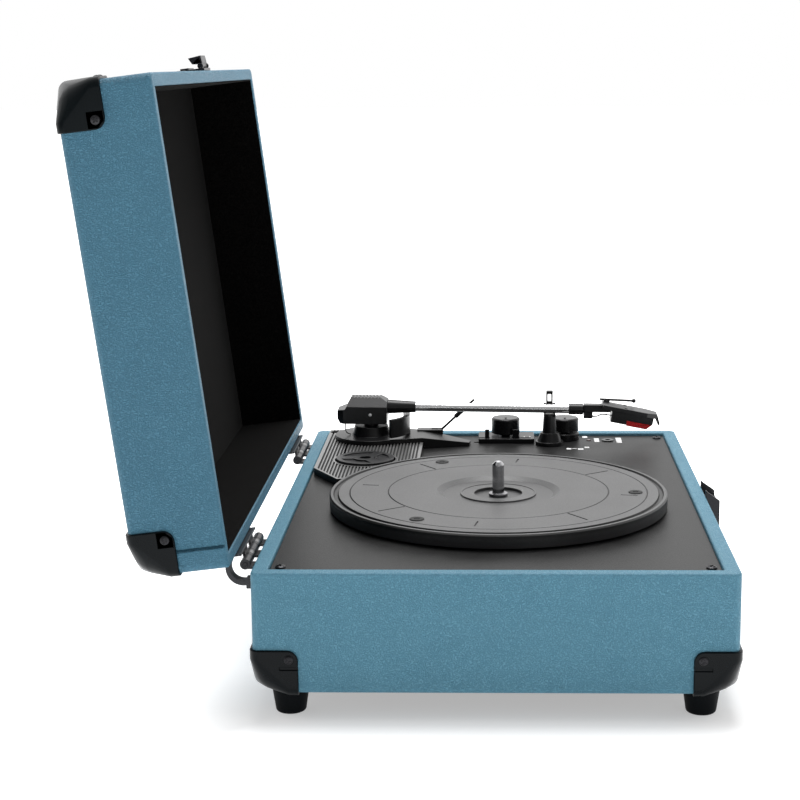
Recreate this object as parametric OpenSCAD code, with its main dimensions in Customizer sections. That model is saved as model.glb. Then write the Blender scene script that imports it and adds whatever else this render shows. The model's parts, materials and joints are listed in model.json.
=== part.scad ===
// Suitcase record player: a wooden case with a hinged lid, a belt-driven platter and a tonearm.
// Frame: +X is the user's right, +Y is the hinge side, +Z is up.
// The origin is the centre of the four feet, on the surface that the player stands on.

/* [Case] */
// Width of the case along X
case_w = 355; // [350:1:360]
// Depth of the case along Y
case_d = 255; // [252:1:258]
// Height of the base box without its feet
base_h = 66; // [62:1:70]
// Height of the lid box
lid_h = 50; // [48:1:54]
// Thickness of the base walls
wall = 8.5; // [8:0.5:9]
// Thickness of the lid walls
lid_wall = 7; // [6:0.5:8]
// Height of the feet
foot_h = 15; // [13:1:18]
// Radius of the long edges of both boxes
edge_r = 4; // [3:0.5:5]
// Radius of the guarded corners
corner_r = 13; // [12:0.5:14]
// Distance that a corner guard reaches along each edge
guard_reach = 24; // [22:1:26]
// Thickness of a corner guard
guard_t = 1.5; // [1:0.1:1.6]

/* [Hinges and latch] */
// Angle that the lid opens to
lid_open = 97; // [90:1:100]
// Distance of the hinge axis behind the case
hinge_back = 6.1; // [5.8:0.1:6.4]
// Distance of the hinge axis below the rim
hinge_drop = 3.2; // [3:0.1:3.4]
// Gap between the rims when the lid is shut
lid_gap = 0.4; // [0.3:0.1:0.6]
// Length of each hinge along X
hinge_len = 55; // [50:1:60]
// Distance of each hinge's outer end from the side of the case
hinge_inset = 27; // [26:1:32]

/* [Platter] */
// X of the spindle
platter_x = -27.5; // [-29:0.5:-26]
// Y of the spindle
platter_y = -1.6; // [-2:0.1:0]
// Outer radius of the platter
platter_r = 101.2; // [100:0.1:102]
// Height of the platter's top above the rim
platter_rise = 7.2; // [7:0.1:7.4]
// Radius of the spindle's free end
spindle_r = 3.55; // [3.5:0.01:3.6]
// Radius of the spindle's shaft inside the hub
shaft_low_r = 3.8; // [3.7:0.01:3.9]
// Radius of the drive ring under the platter
drive_r = 58; // [56:1:60]
// Radius of the motor pulley
pulley_r = 5.8; // [5.5:0.1:6.2]

/* [Tonearm] */
// X of the arm's pivot
pivot_x = 140.5; // [140:0.5:141]
// Y of the arm's pivot
pivot_y = 86.5; // [86:0.5:87]
// Height of the lift pin above the rim
lift_rise = 21; // [20.5:0.1:21.5]
// Downward slope of the arm on its rest
arm_slope = 0.85; // [0.8:0.01:0.9]
// Radius of the chrome tube
tube_r = 3; // [2.8:0.1:3]
// Downward angle of the headshell against the tube
shell_angle = 10.2; // [9.5:0.1:10.4]

/* [Hidden] */
$fn = 64;

half_w = case_w / 2;
half_d = case_d / 2;
rim = foot_h + base_h;
deck_drop = 2;
deck_t = 3;
deck_z = rim - deck_drop;
fit_gap = 0.05;                       // radial play of every running fit
safe_gap = 0.4;                       // play between parts that never touch
blend = 24;                           // facets of the hulled corners
edge_start = edge_r + 15;             // where the long edges begin, from a corner

hinge_y = half_d + hinge_back;
hinge_z = rim - hinge_drop;
knuckle_r = 2.9;
hinge_pin_r = 1.3;
leaf_t = 1.2;
knuckles = 5;
knuckle_len = hinge_len / knuckles;
hinge_x = half_w - hinge_inset - hinge_len / 2;

lid_z = rim + lid_gap;                // the lid's rim when shut
lid_top = lid_z + lid_h;

platter_z = rim + platter_rise;
platter_skirt = 7.9;
hub_z = platter_z - 3.2;
pulley_reach = 80;                    // from the spindle to the motor shaft
pulley_angle = 205;
pulley_x = platter_x + pulley_reach * cos(pulley_angle);
pulley_y = platter_y + pulley_reach * sin(pulley_angle);
belt_t = 0.9;
belt_z = rim - 0.6;
belt_h = 3.4;
ring_lines = [66, 89];                // radii of the fine rings on the platter
tick_count = 8;
pad_count = 3;
pad_ring = 82;

deck_screw_x = half_w - 17.5;
deck_screw_y = half_d - 14;
panel_rise = 4.6;                     // ribbed panel above the deck
panel_z = deck_z + panel_rise;
well_x = 74.5;
well_y = 86;
well_r = 20;
adapter_r = 19;
adapter_h = 4.5;

lift_z = rim + lift_rise;
tube_z = 4.1;                         // the tube's axis above the lift pin
neck_r = 5;
lift_pin_r = 1.5;
shell_y = -164.5;
shell_z = 8.1;

post_x = 140.5;
post_y = -37.4;
post_tube_z = lift_z + tube_z + (post_y - pivot_y) * sin(arm_slope);
clip_dx = tube_r + 1.6;
clip_z = post_tube_z + 2.1;

cue_x = 153;
cue_pivot_y = 40;
cue_pivot_z = rim + 4.2;
cue_angle = 43;
cue_r_in = 24;
cue_r_out = 27;
cue_top = 19.7;                       // top of the cue platform above the rim
cue_stem_r = 2;

console = [143, -27, 24, 39];         // x, y, width and depth of the switch console
console_h = 3.2;
console_z = deck_z + console_h;
lever_x = 147;
knob_r = 10;
knob_1 = [158.5, -7];
knob_2 = [158.4, -48.5];
shaft_r = 3;
jack_at = [152.5, -78.5];
lamp_at = [153, -65.3];

speaker_x = 104;
speaker_z = foot_h + 30;
speaker_r = 24;
grille_w = 84;
grille_h = 44;
handle_z = rim - 30;
handle_span = 96;
handle_pin_r = 2;
handle_bar_r = 3.4;
handle_pin_y = -half_d - 5.6;
button_r = 4.4;
hasp_y = -half_d - 2.9;
hasp_z = lid_z + 3.2;
hasp_pin_r = 0.9;
jack_plate_x = 60;
line_out_x = [-16, 0];
line_out_r = 4.15;
dc_x = 17;
dc_r = 2.8;

teal = [0.33, 0.53, 0.61];
soot = [0.09, 0.09, 0.10];
grey = [0.3, 0.3, 0.31];
steel = [0.75, 0.76, 0.78];

// ---- shared shapes ----

// Copies its children to the four corners of the plan, mirrored so that each faces outwards
module each_corner() {
  for (mx = [0, 1], my = [0, 1]) mirror([mx, 0, 0]) mirror([0, my, 0]) children();
}

// Solid of one box corner at the origin of a box that reaches into +X, +Y and +Z, grown by e
module corner_blob(reach, e) {
  translate([corner_r, corner_r, corner_r]) sphere(r = corner_r + e, $fn = blend);
  translate([edge_start, edge_r, edge_r]) rotate([0, 90, 0])
    cylinder(r = edge_r + e, h = reach - edge_start, $fn = blend);
  translate([edge_r, edge_start, edge_r]) rotate([-90, 0, 0])
    cylinder(r = edge_r + e, h = reach - edge_start, $fn = blend);
  translate([edge_r, edge_r, edge_start])
    cylinder(r = edge_r + e, h = reach - edge_start, $fn = blend);
}

// Outer solid of a box: its closed face is at z = 0, its open rim is at z = h
module box_blob(h) {
  hull() each_corner() translate([-half_w, -half_d, 0]) {
    corner_blob(guard_reach, 0);
    translate([edge_r, edge_r, h - 1]) cylinder(r = edge_r, h = 1, $fn = blend);
  }
}

// One guard, in the same place as corner_blob
module guard() {
  face_r = 5;
  face_at = guard_reach - face_r;
  difference() {
    hull() {
      corner_blob(guard_reach, guard_t);
      translate([face_at, face_at, -guard_t]) cylinder(r = face_r, h = guard_t, $fn = blend);
      translate([face_at, -guard_t, face_at]) rotate([-90, 0, 0])
        cylinder(r = face_r, h = guard_t, $fn = blend);
      translate([-guard_t, face_at, face_at]) rotate([0, 90, 0])
        cylinder(r = face_r, h = guard_t, $fn = blend);
    }
    hull() {
      corner_blob(guard_reach + 20, 0);
      translate([guard_reach + 20, guard_reach + 20, guard_reach + 20]) sphere(r = 1, $fn = 8);
    }
  }
}

// The two screws of a guard, on its X face and its Y face
module guard_screws() {
  at = guard_reach - 4.5;
  head_r = 2.4;
  head_h = 1;
  for (turn = [[0, -90, 0], [90, 0, 0]])
    translate(turn[0] == 0 ? [-guard_t, at, at] : [at, -guard_t, at]) rotate(turn) difference() {
      cylinder(r = head_r, h = head_h);
      translate([0, 0, head_h - 0.4]) cube([3, 0.7, 1], center = true);
      translate([0, 0, head_h - 0.4]) cube([0.7, 3, 1], center = true);
    }
}

// Puts a part that is drawn with the lid shut where it is with the lid open
module with_lid() {
  translate([0, hinge_y, hinge_z]) rotate([-lid_open, 0, 0]) translate([0, -hinge_y, -hinge_z]) children();
}

// Turns a lid that is drawn like the base, closed face down, into place above the rim
module as_lid() {
  translate([0, 0, lid_top]) mirror([0, 0, 1]) children();
}

// Puts a part that is drawn along the arm, with the lift pin at its origin, on its rest
module with_arm() {
  translate([pivot_x, pivot_y, lift_z]) rotate([arm_slope, 0, 0]) children();
}

// Puts a part that is drawn along the headshell on the arm
module with_shell() {
  with_arm() translate([0, shell_y, shell_z]) rotate([shell_angle, 0, 0]) children();
}

// Places its children on the axis of the cue platform's guide
module cue_stem() {
  translate([pivot_x, pivot_y, 0]) rotate(-77) translate([(cue_r_in + cue_r_out) / 2, 0, 0]) children();
}

// Box between two corners
module block(a, b) {
  translate(a) cube(b - a);
}

// A box along Z with rounded upright edges, centred on the origin
module pad_block(w, d, h, r) {
  linear_extrude(h) for (i = [0:1]) {
    square([w - 2 * r * i, d - 2 * r * (1 - i)], center = true);
    for (sx = [-1, 1], sy = [-1, 1]) translate([sx * (w / 2 - r), sy * (d / 2 - r)]) circle(r);
  }
}

// Places its children once on each hinge, in the hinge's own frame
module each_hinge() {
  for (s = [-1, 1]) translate([s * hinge_x, hinge_y, hinge_z]) mirror([s > 0 ? 1 : 0, 0, 0]) children();
}

// One knuckle of a hinge, number i of five
module knuckle(i) {
  translate([-hinge_len / 2 + i * knuckle_len + 0.2, 0, 0]) rotate([0, 90, 0])
    cylinder(r = knuckle_r, h = knuckle_len - 0.4);
}

// ---- base ----

module base_case() {
  ledge = 6;
  color(teal) difference() {
    translate([0, 0, foot_h]) box_blob(base_h);
    block([-half_w + wall, -half_d + wall, deck_z - deck_t], [half_w - wall, half_d - wall, rim + 1]);
    block([-half_w + wall + ledge, -half_d + wall + ledge, foot_h - 1],
          [half_w - wall - ledge, half_d - wall - ledge, rim]);
    block([-half_w + wall, -half_d + wall, foot_h - 1], [half_w - wall, half_d - wall, deck_z - 8]);
    for (s = [-1, 1]) translate([s * speaker_x, -half_d - 1, speaker_z]) rotate([-90, 0, 0])
      cylinder(r = speaker_r - 2, h = wall + 2);
    block([jack_plate_x - 26, half_d - wall - 7, foot_h + 16], [jack_plate_x + 26, half_d + 1, foot_h + 38]);
  }
}

module bottom_panel() {
  color(soot) difference() {
    block([-half_w + wall + 0.2, -half_d + wall + 0.2, foot_h + 1],
          [half_w - wall - 0.2, half_d - wall - 0.2, foot_h + 5]);
    for (i = [-3:3]) translate([i * 9, 60, foot_h]) cylinder(r = 2, h = 6);
  }
}

module deck_panel() {
  color(soot) difference() {
    block([-half_w + wall + 0.3, -half_d + wall + 0.3, deck_z - deck_t],
          [half_w - wall - 0.3, half_d - wall - 0.3, deck_z]);
    translate([platter_x, platter_y, 0]) cylinder(r = 9, h = rim);
    translate([pulley_x, pulley_y, 0]) cylinder(r = 9, h = rim);
    translate([pivot_x, pivot_y, 0]) cylinder(r = 6, h = rim);
    for (k = [knob_1, knob_2]) translate([k[0], k[1], 0]) cylinder(r = shaft_r + 1, h = rim);
    translate([jack_at[0], jack_at[1], 0]) cylinder(r = 3.1, h = rim);
    translate([lamp_at[0], lamp_at[1], 0]) cylinder(r = 1.6, h = rim);
    block([lever_x - 1.6, -25, deck_z - 5], [lever_x + 1.6, 15, deck_z + 1]);
  }
}

module feet() {
  color(soot) each_corner() translate([-half_w + 18, -half_d + 18, 0]) difference() {
    cylinder(r1 = 8, r2 = 10, h = foot_h - guard_t);
    translate([0, 0, -1]) cylinder(r = 3.4, h = 5);
  }
}

module foot_screws() {
  color(steel) each_corner() translate([-half_w + 18, -half_d + 18, 2.4]) difference() {
    cylinder(r = 3, h = 1.6);
    translate([0, 0, 0]) cube([4, 0.8, 1.2], center = true);
  }
}

module base_corners() {
  color(soot) each_corner() translate([-half_w, -half_d, foot_h]) guard();
}

module base_corner_screws() {
  color(steel) each_corner() translate([-half_w, -half_d, foot_h]) guard_screws();
}

module deck_screws() {
  color(soot) each_corner() translate([-deck_screw_x, -deck_screw_y, deck_z]) difference() {
    cylinder(r1 = 3, r2 = 2.2, h = 1.5);
    translate([0, 0, 1.3]) cube([3.2, 0.8, 1], center = true);
    translate([0, 0, 1.3]) cube([0.8, 3.2, 1], center = true);
  }
}

module ribbed_panel() {
  outline = [[19.5, 100], [50, 117.5], [167.5, 117.5], [167.5, 50], [30, 50]];
  color(grey) difference() {
    translate([0, 0, deck_z]) linear_extrude(panel_rise) polygon(outline);
    translate([platter_x, platter_y, 0]) cylinder(r = platter_r + 3, h = 2 * rim);
    translate([well_x, well_y, panel_z - 3.2]) cylinder(r = well_r, h = 5);
    translate([pivot_x, pivot_y, 0]) cylinder(r = 6, h = 2 * rim);
    cue_stem() cylinder(r = cue_stem_r + 1, h = 2 * rim);
    translate([deck_screw_x, deck_screw_y, 0]) cylinder(r = 3.5, h = 2 * rim);
  }
}

module hinge_base_leaves() {
  color(soot) each_hinge() difference() {
    union() {
      for (i = [0, 2, 4]) knuckle(i);
      // jog from the barrel to the wall, then the plate on the wall
      for (i = [0, 2, 4]) translate([-hinge_len / 2 + i * knuckle_len + 0.2, 0, 0])
        block([0, -hinge_back + 0.02, -2.6], [knuckle_len - 0.4, 0, -1.2]);
      block([-hinge_len / 2, -hinge_back + 0.02, -22], [hinge_len / 2, -hinge_back + 0.02 + leaf_t, -1.2]);
    }
    translate([-hinge_len, 0, 0]) rotate([0, 90, 0]) cylinder(r = hinge_pin_r, h = 2 * hinge_len);
    // room for the lid's knuckles
    for (i = [1, 3]) translate([-hinge_len / 2 + i * knuckle_len, 0, 0]) rotate([0, 90, 0])
      cylinder(r = knuckle_r + safe_gap, h = knuckle_len);
    for (x = [-18, 0, 18]) translate([x, -hinge_back - 1, -15]) rotate([-90, 0, 0]) cylinder(r = 1.7, h = 4);
  }
}

module hinge_pins() {
  color(steel) each_hinge() translate([-hinge_len / 2, 0, 0]) rotate([0, 90, 0])
    cylinder(r = hinge_pin_r, h = hinge_len);
}

module latch_catch() {
  front = -half_d - 8.7;
  color(soot) difference() {
    union() {
      block([-14, -half_d - 1.5, rim - 24], [14, -half_d, rim - 3.2]);
      block([-14, front, rim - 19], [14, -half_d - 1.4, rim - 5.4]);
      // cheeks beside the hasp, with tabs that guide the lid
      for (s = [-1, 1]) translate([s * 13.1 - 0.9, 0, 0]) rotate([90, 0, 90]) linear_extrude(1.8)
        polygon([[-half_d, rim - 6], [front, rim - 6], [front, rim - 2.9], [-half_d - 1.4, rim + 2.2],
                 [-half_d, rim + 3.6]]);
    }
    translate([0, front - 1, rim - 12]) rotate([-90, 0, 0]) cylinder(r = button_r + fit_gap, h = 7);
    for (s = [-1, 1]) translate([s * 8, -half_d - 5, rim - 21.5]) rotate([-90, 0, 0]) cylinder(r = 1.4, h = 9);
  }
}

module latch_button() {
  color(steel) translate([0, -half_d - 9.8, rim - 12]) rotate([-90, 0, 0]) difference() {
    cylinder(r = button_r, h = 5.4);
    translate([0, 0, -1]) cylinder(r = button_r - 1.4, h = 1.6);
  }
}

module handle_brackets() {
  color(soot) for (s = [-1, 1]) translate([s * handle_span / 2, 0, handle_z]) difference() {
    union() {
      block([-9, -half_d - 2.2, -8], [9, -half_d, 8]);
      for (e = [-1, 1]) translate([e * 6.5, handle_pin_y, 0]) rotate([0, 90, 0])
        translate([0, 0, -1.5]) cylinder(r = 4.2, h = 3);
      for (e = [-1, 1]) block([e * 6.5 - 1.5, handle_pin_y, -4], [e * 6.5 + 1.5, -half_d - 2, 4]);
    }
    translate([-20, handle_pin_y, 0]) rotate([0, 90, 0]) cylinder(r = handle_pin_r + fit_gap, h = 40);
  }
}

module handle() {
  drop = 26;
  half_span = handle_span / 2;
  color(soot) translate([0, handle_pin_y, handle_z]) {
    for (s = [-1, 1]) {
      translate([s * half_span - 8.4, 0, 0]) rotate([0, 90, 0]) cylinder(r = handle_pin_r, h = 16.8);
      translate([s * half_span - 4.4, 0, 0]) rotate([0, 90, 0]) cylinder(r = 3, h = 8.8);
      block([s * half_span - 4.4, -2.6, -drop], [s * half_span + 4.4, 2.6, 0]);
    }
    translate([-half_span - 4.4, 0, -drop]) rotate([0, 90, 0]) cylinder(r = handle_bar_r, h = handle_span + 8.8);
  }
}

module speaker(s) {
  color(soot) translate([s * speaker_x, -half_d + wall, speaker_z]) rotate([-90, 0, 0]) {
    difference() {
      cylinder(r = speaker_r, h = 2);
      translate([0, 0, -1]) cylinder(r = speaker_r - 4, h = 4);
    }
    difference() {
      translate([0, 0, 2]) cylinder(r1 = speaker_r - 2, r2 = 13, h = 12);
      translate([0, 0, 1.5]) cylinder(r1 = speaker_r - 4, r2 = 10.5, h = 11);
    }
    translate([0, 0, 14]) cylinder(r = 16, h = 9);
  }
}

module speaker_left() { speaker(-1); }
module speaker_right() { speaker(1); }

module speaker_grilles() {
  color(soot) for (s = [-1, 1]) translate([s * speaker_x, -half_d, speaker_z]) rotate([90, 0, 0])
    difference() {
      pad_block(grille_w, grille_h, 2.4, 6);
      for (i = [-6:6]) translate([i * 5.2, 0, -1]) pad_block(2.6, 34 - abs(i) * 1.2, 5, 1.2);
    }
}

module jack_plate() {
  color(soot) translate([jack_plate_x, half_d, foot_h + 27]) rotate([-90, 0, 0]) difference() {
    union() {
      translate([0, 0, -6]) pad_block(50, 20, 6, 2);
      pad_block(58, 28, 1.6, 4);
      for (x = line_out_x) translate([x, 0, 1]) cylinder(r = line_out_r, h = 8.6);
    }
    for (x = line_out_x) translate([x, 0, 2]) cylinder(r = 1.7, h = 9);
    translate([dc_x, 0, -5]) cylinder(r = dc_r, h = 8);
  }
}

module control_board() {
  board_z = deck_z - 18;
  board_t = 1.6;
  pot_top = deck_z - 9;
  color("darkgreen") block([100, -100, board_z], [166, 14, board_z + board_t]);
  color(grey) {
    for (k = [knob_1, knob_2]) translate([k[0], k[1], 0]) difference() {
      union() {
        translate([-8, -8, board_z + board_t]) cube([15.5, 16, pot_top - board_z - board_t]);
        translate([0, 0, pot_top]) cylinder(r = shaft_r + 1.4, h = 4.6);
      }
      translate([0, 0, pot_top - 3]) cylinder(r = shaft_r + fit_gap, h = 9);
    }
    translate([jack_at[0] - 7, jack_at[1] - 5, board_z + board_t]) cube([14, 10, 6]);
    translate([104, -92, board_z + board_t]) cube([14, 14, 9]);
  }
}

module motor() {
  color(steel) translate([pulley_x, pulley_y, 0]) {
    translate([0, 0, deck_z - deck_t - 30]) cylinder(r = 17, h = 28);
    translate([0, 0, deck_z - deck_t - 2]) difference() {
      cylinder(r = 22, h = 2);
      translate([0, 0, -1]) cylinder(r = 3, h = 4);
    }
    translate([0, 0, deck_z - deck_t - 3]) cylinder(r = 1, h = 9.5);
  }
}

module motor_pulley() {
  color("goldenrod") translate([pulley_x, pulley_y, 0]) difference() {
    union() {
      translate([0, 0, belt_z - 0.5]) cylinder(r = pulley_r, h = belt_h + 1);
      translate([0, 0, belt_z - 1.2]) cylinder(r = pulley_r + 1.3, h = 0.8);
    }
    translate([0, 0, belt_z - 3]) cylinder(r = 1 + fit_gap, h = 10);
  }
}

module drive_belt() {
  clear = 0.12;
  color(soot) translate([0, 0, belt_z]) linear_extrude(belt_h) difference() {
    hull() {
      translate([platter_x, platter_y]) circle(drive_r + clear + belt_t, $fn = 96);
      translate([pulley_x, pulley_y]) circle(pulley_r + clear + belt_t, $fn = 32);
    }
    hull() {
      translate([platter_x, platter_y]) circle(drive_r + clear, $fn = 96);
      translate([pulley_x, pulley_y]) circle(pulley_r + clear, $fn = 32);
    }
  }
}

module platter_bearing() {
  color(steel) translate([platter_x, platter_y, 0]) difference() {
    union() {
      translate([0, 0, deck_z - deck_t - 2]) cylinder(r = 16, h = 2);
      translate([0, 0, deck_z - 24]) cylinder(r = 7, h = 24.9);
    }
    translate([0, 0, deck_z - 26]) cylinder(r = shaft_low_r, h = 40);
  }
}

module spindle() {
  color(steel) translate([platter_x, platter_y, 0]) {
    translate([0, 0, deck_z - 23]) cylinder(r = shaft_low_r, h = hub_z + 1.5 - deck_z + 23);
    translate([0, 0, hub_z + 1.5]) cylinder(r = spindle_r, h = 17.5);
    translate([0, 0, hub_z + 19]) cylinder(r1 = spindle_r, r2 = 1.8, h = 2);
  }
}

module spindle_clip() {
  color(grey) translate([platter_x, platter_y, hub_z + 0.3]) difference() {
    cylinder(r = 5.7, h = 1.2);
    translate([0, 0, -1]) cylinder(r = shaft_low_r, h = 4);
    translate([0, -1, -1]) cube([8, 2, 4]);
  }
}

// ---- platter ----

// Half section of the platter: radius, height above its own top face
function platter_section() = [
  [shaft_low_r + fit_gap, -3.2], [14.4, -3.2], [14.4, -1.6], [21.8, -1.6], [21.8, -1.3], [22.8, -1.3],
  [22.8, -2.2], [33, -2.2], [37, 0], [ring_lines[0] - 0.5, 0], [ring_lines[0], -0.5], [ring_lines[0] + 0.5, 0],
  [ring_lines[1] - 0.5, 0], [ring_lines[1], -0.5], [ring_lines[1] + 0.5, 0], [95.6, 0], [96.2, -1.2],
  [98.2, -1.2], [98.8, 0], [platter_r - 0.9, 0], [platter_r, -0.9], [platter_r - 0.3, -platter_skirt],
  [platter_r - 3, -platter_skirt], [platter_r - 3, -3.4], [drive_r, -3.4], [drive_r, -platter_skirt],
  [drive_r - 3, -platter_skirt], [drive_r - 3, -4.6], [8, -4.6], [8, -platter_skirt],
  [shaft_low_r + fit_gap, -platter_skirt]];

module platter() {
  color(grey) translate([platter_x, platter_y, platter_z]) difference() {
    rotate_extrude($fn = 96) polygon(platter_section());
    for (i = [0:tick_count - 1]) rotate(i * 360 / tick_count + 58.5 - 180 / tick_count)
      translate([i % 2 == 0 ? 76 : 78.5, 0, 0]) cube([i % 2 == 0 ? 18 : 10, 1, 1], center = true);
    for (i = [0:pad_count - 1]) rotate(i * 360 / pad_count + 26) translate([pad_ring, 0, -0.6])
      cylinder(r = 4.2, h = 2);
  }
}

module platter_pads() {
  color(soot) translate([platter_x, platter_y, platter_z]) for (i = [0:pad_count - 1])
    rotate(i * 360 / pad_count + 26) translate([pad_ring, 0, -0.6]) difference() {
      cylinder(r = 4.2, h = 1.1);
      translate([0, 0, 0.8]) cylinder(r = 1.6, h = 1);
    }
}

module adapter_45() {
  color(soot) translate([well_x, well_y, panel_z - 3.2]) difference() {
    cylinder(r = adapter_r, h = adapter_h);
    translate([0, 0, -1]) cylinder(r = spindle_r + 0.15, h = 10);
    translate([0, 0, adapter_h - 1]) difference() {
      cylinder(r = 15.5, h = 2);
      translate([0, 0, -1]) cylinder(r = 8, h = 4);
      for (i = [0:2]) rotate(i * 120 + 90) translate([12, 0, 0]) cube([10, 7, 8], center = true);
    }
  }
}

// ---- controls ----

module console() {
  color(soot) difference() {
    translate([console[0] + console[2] / 2, console[1] + console[3] / 2, deck_z])
      pad_block(console[2], console[3], console_h, 1.5);
    translate([knob_1[0], knob_1[1], 0]) cylinder(r = shaft_r + 1, h = 2 * rim);
    block([lever_x - 1.4, 4, deck_z - 1], [lever_x + 1.4, 14, rim + 9]);
    block([lever_x - 1.4, -24.4, deck_z - 1], [lever_x + 1.4, -11.2, rim + 9]);
  }
}

module slider(y, w) {
  color(soot) {
    block([lever_x - 0.9, y - w / 2, deck_z - 2], [lever_x + 0.9, y + w / 2, console_z + 6]);
    block([lever_x - 3.4, y - w / 2 - 1, deck_z - 6.5], [lever_x + 3.4, y + w / 2 + 1, deck_z - 3.6]);
    block([lever_x - 0.9, y - w / 2, deck_z - 4], [lever_x + 0.9, y + w / 2, deck_z - 1.9]);
  }
}

module speed_switch() { slider(-14, 4.7); }
module stop_switch() { slider(6, 3); }

module knob(at, z0) {
  color(soot) translate([at[0], at[1], 0]) difference() {
    union() {
      translate([0, 0, z0]) cylinder(r = knob_r, h = rim + 12.6 - z0);
      translate([0, 0, rim + 12.6]) cylinder(r1 = knob_r, r2 = knob_r - 1, h = 1);
      translate([0, 0, deck_z - 11]) cylinder(r = shaft_r, h = z0 + 12 - deck_z);
    }
    translate([-knob_r + 1.4, -0.5, rim + 13.1]) cube([7, 1, 2]);
  }
}

module volume_knob() { knob(knob_1, console_z + 1.4); }
module tone_knob() { knob(knob_2, rim + 4.4); }

module knob_collars() {
  collar_r = 10.3;
  color(soot) translate([knob_2[0], knob_2[1], deck_z]) difference() {
    union() {
      cylinder(r = collar_r, h = 4.4);
      translate([0, 0, 4.4]) cylinder(r1 = collar_r, r2 = collar_r - 1.2, h = 1.2);
    }
    translate([0, 0, -1]) cylinder(r = shaft_r + 0.6, h = 9);
  }
}

module headphone_jack() {
  color(steel) translate([jack_at[0], jack_at[1], 0]) difference() {
    union() {
      translate([0, 0, deck_z - 10]) cylinder(r = 3, h = 10);
      translate([0, 0, deck_z]) cylinder(r = 4.2, h = 0.8);
    }
    translate([0, 0, deck_z - 9]) cylinder(r = 1.8, h = 12);
  }
}

module power_lamp() {
  color("crimson") translate([lamp_at[0], lamp_at[1], deck_z - 6]) cylinder(r = 1.5, h = 6.6);
}

// ---- tonearm ----

module arm_base() {
  tail = [[-6, -68], [2, -69], [22, -13], [-20, -14]];
  color(soot) difference() {
    translate([pivot_x, pivot_y, 0]) union() {
      translate([0, 0, panel_z]) linear_extrude(3) {
        circle(25);
        polygon(tail);
      }
      // the part of the tail past the ribbed panel reaches down to the deck
      translate([0, 0, deck_z]) linear_extrude(panel_rise + 0.1) intersection() {
        polygon(tail);
        translate([-30, -80]) square([60, 43]);
      }
      translate([0, 0, panel_z + 3]) cylinder(r1 = 13.5, r2 = 11.5, h = 6.4);
    }
    translate([pivot_x, pivot_y, -1]) cylinder(r = neck_r + fit_gap, h = 3 * rim);
    // the tail slopes down to its tip
    translate([pivot_x - 40, pivot_y - 36, panel_z + 3]) rotate([9, 0, 0]) translate([0, -60, 0])
      cube([80, 60, 20]);
    cue_stem() cylinder(r = cue_stem_r + fit_gap, h = 3 * rim);
    block([cue_x - 4, 37, 0], [cue_x + 4, 55, 2 * rim]);
  }
}

module arm_yoke() {
  color(soot) translate([pivot_x, pivot_y, 0]) {
    translate([0, 0, deck_z - 12]) cylinder(r = neck_r, h = lift_z - 6.9 - deck_z + 12);
    translate([0, 0, lift_z - 7]) cylinder(r = 3.6, h = 9);
    translate([-10.6, 0, lift_z]) rotate([0, 90, 0]) cylinder(r = lift_pin_r, h = 21.2);
    translate([0, 0, deck_z - 12]) cylinder(r = neck_r + 3, h = 3);
  }
}

module arm_housing() {
  side = [[-11.5, -6.5], [21, -6.5], [23, -3.5], [23, 2.2], [17.5, 3.6], [13.5, 11.4], [-7, 11.4], [-11.5, 8.6]];
  color(soot) with_arm() difference() {
    union() {
      translate([-11, 0, 0]) rotate([90, 0, 90]) linear_extrude(22) polygon(side);
      translate([0, -10.5, tube_z]) rotate([90, 0, 0]) cylinder(r1 = 5, r2 = 3.8, h = 20.5);
    }
    // chamfered tail and sloping shoulders
    for (s = [-1, 1]) {
      translate([s * 11, 25, -10]) rotate(45) cube([9, 9, 40], center = true);
      translate([s * 12.4, 0, 12.4]) rotate([0, 45, 0]) cube([12, 60, 12], center = true);
    }
    block([-5, -7, -8], [5, 7, 3.4]);
    translate([-20, 0, 0]) rotate([0, 90, 0]) cylinder(r = lift_pin_r + fit_gap, h = 40);
    translate([0, -8, tube_z]) rotate([90, 0, 0]) cylinder(r = tube_r, h = 30);
    for (i = [0:7]) block([-5.5, -5.6 + i * 2.4, 10.6], [5.5, -4.6 + i * 2.4, 14]);
  }
}

module arm_tube() {
  color(steel) with_arm() translate([0, -12, tube_z]) rotate([90, 0, 0]) difference() {
    cylinder(r = tube_r, h = 129);
    translate([0, 0, -1]) cylinder(r = tube_r - 0.6, h = 131);
  }
}

module headshell() {
  color(soot) {
    with_arm() translate([0, -137, tube_z]) rotate([90, 0, 0]) difference() {
      cylinder(r = 3.8, h = 10);
      translate([0, 0, -1]) cylinder(r = tube_r, h = 5);
    }
    with_arm() {
      translate([0, -146.8, tube_z]) rotate([90, 0, 0]) cylinder(r = 2.6, h = 6);
      block([-3.5, -166, tube_z - 1.4], [3.5, -147.4, tube_z + 3.6]);
      block([-3, -153.5, tube_z - 6], [3, -147.4, tube_z]);
    }
    with_shell() difference() {
      union() {
        block([-8.5, -26, -3], [8.5, 4, 0]);
        translate([0, 0, -3]) linear_extrude(3) polygon([[-8.5, -25], [8.5, -25], [8.5, -27], [5.5, -34],
                                                        [-5.5, -34], [-8.5, -27]]);
        // the nose turns down in a lip
        translate([-5.5, 0, 0]) rotate([90, 0, 90]) linear_extrude(11)
          polygon([[-31, -0.4], [-34, 0], [-37.2, -6.6], [-36, -7.4], [-33, -3], [-31, -3]]);
      }
      for (s = [-1, 1]) translate([s * 5, -12, -5]) cylinder(r = 1.3, h = 8);
    }
  }
}

module cartridge() {
  color(soot) with_shell() difference() {
    block([-7.2, -32, -11], [7.2, -3, -3]);
    block([-8, -36, -12], [8, -14, -7.9]);
  }
}

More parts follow.
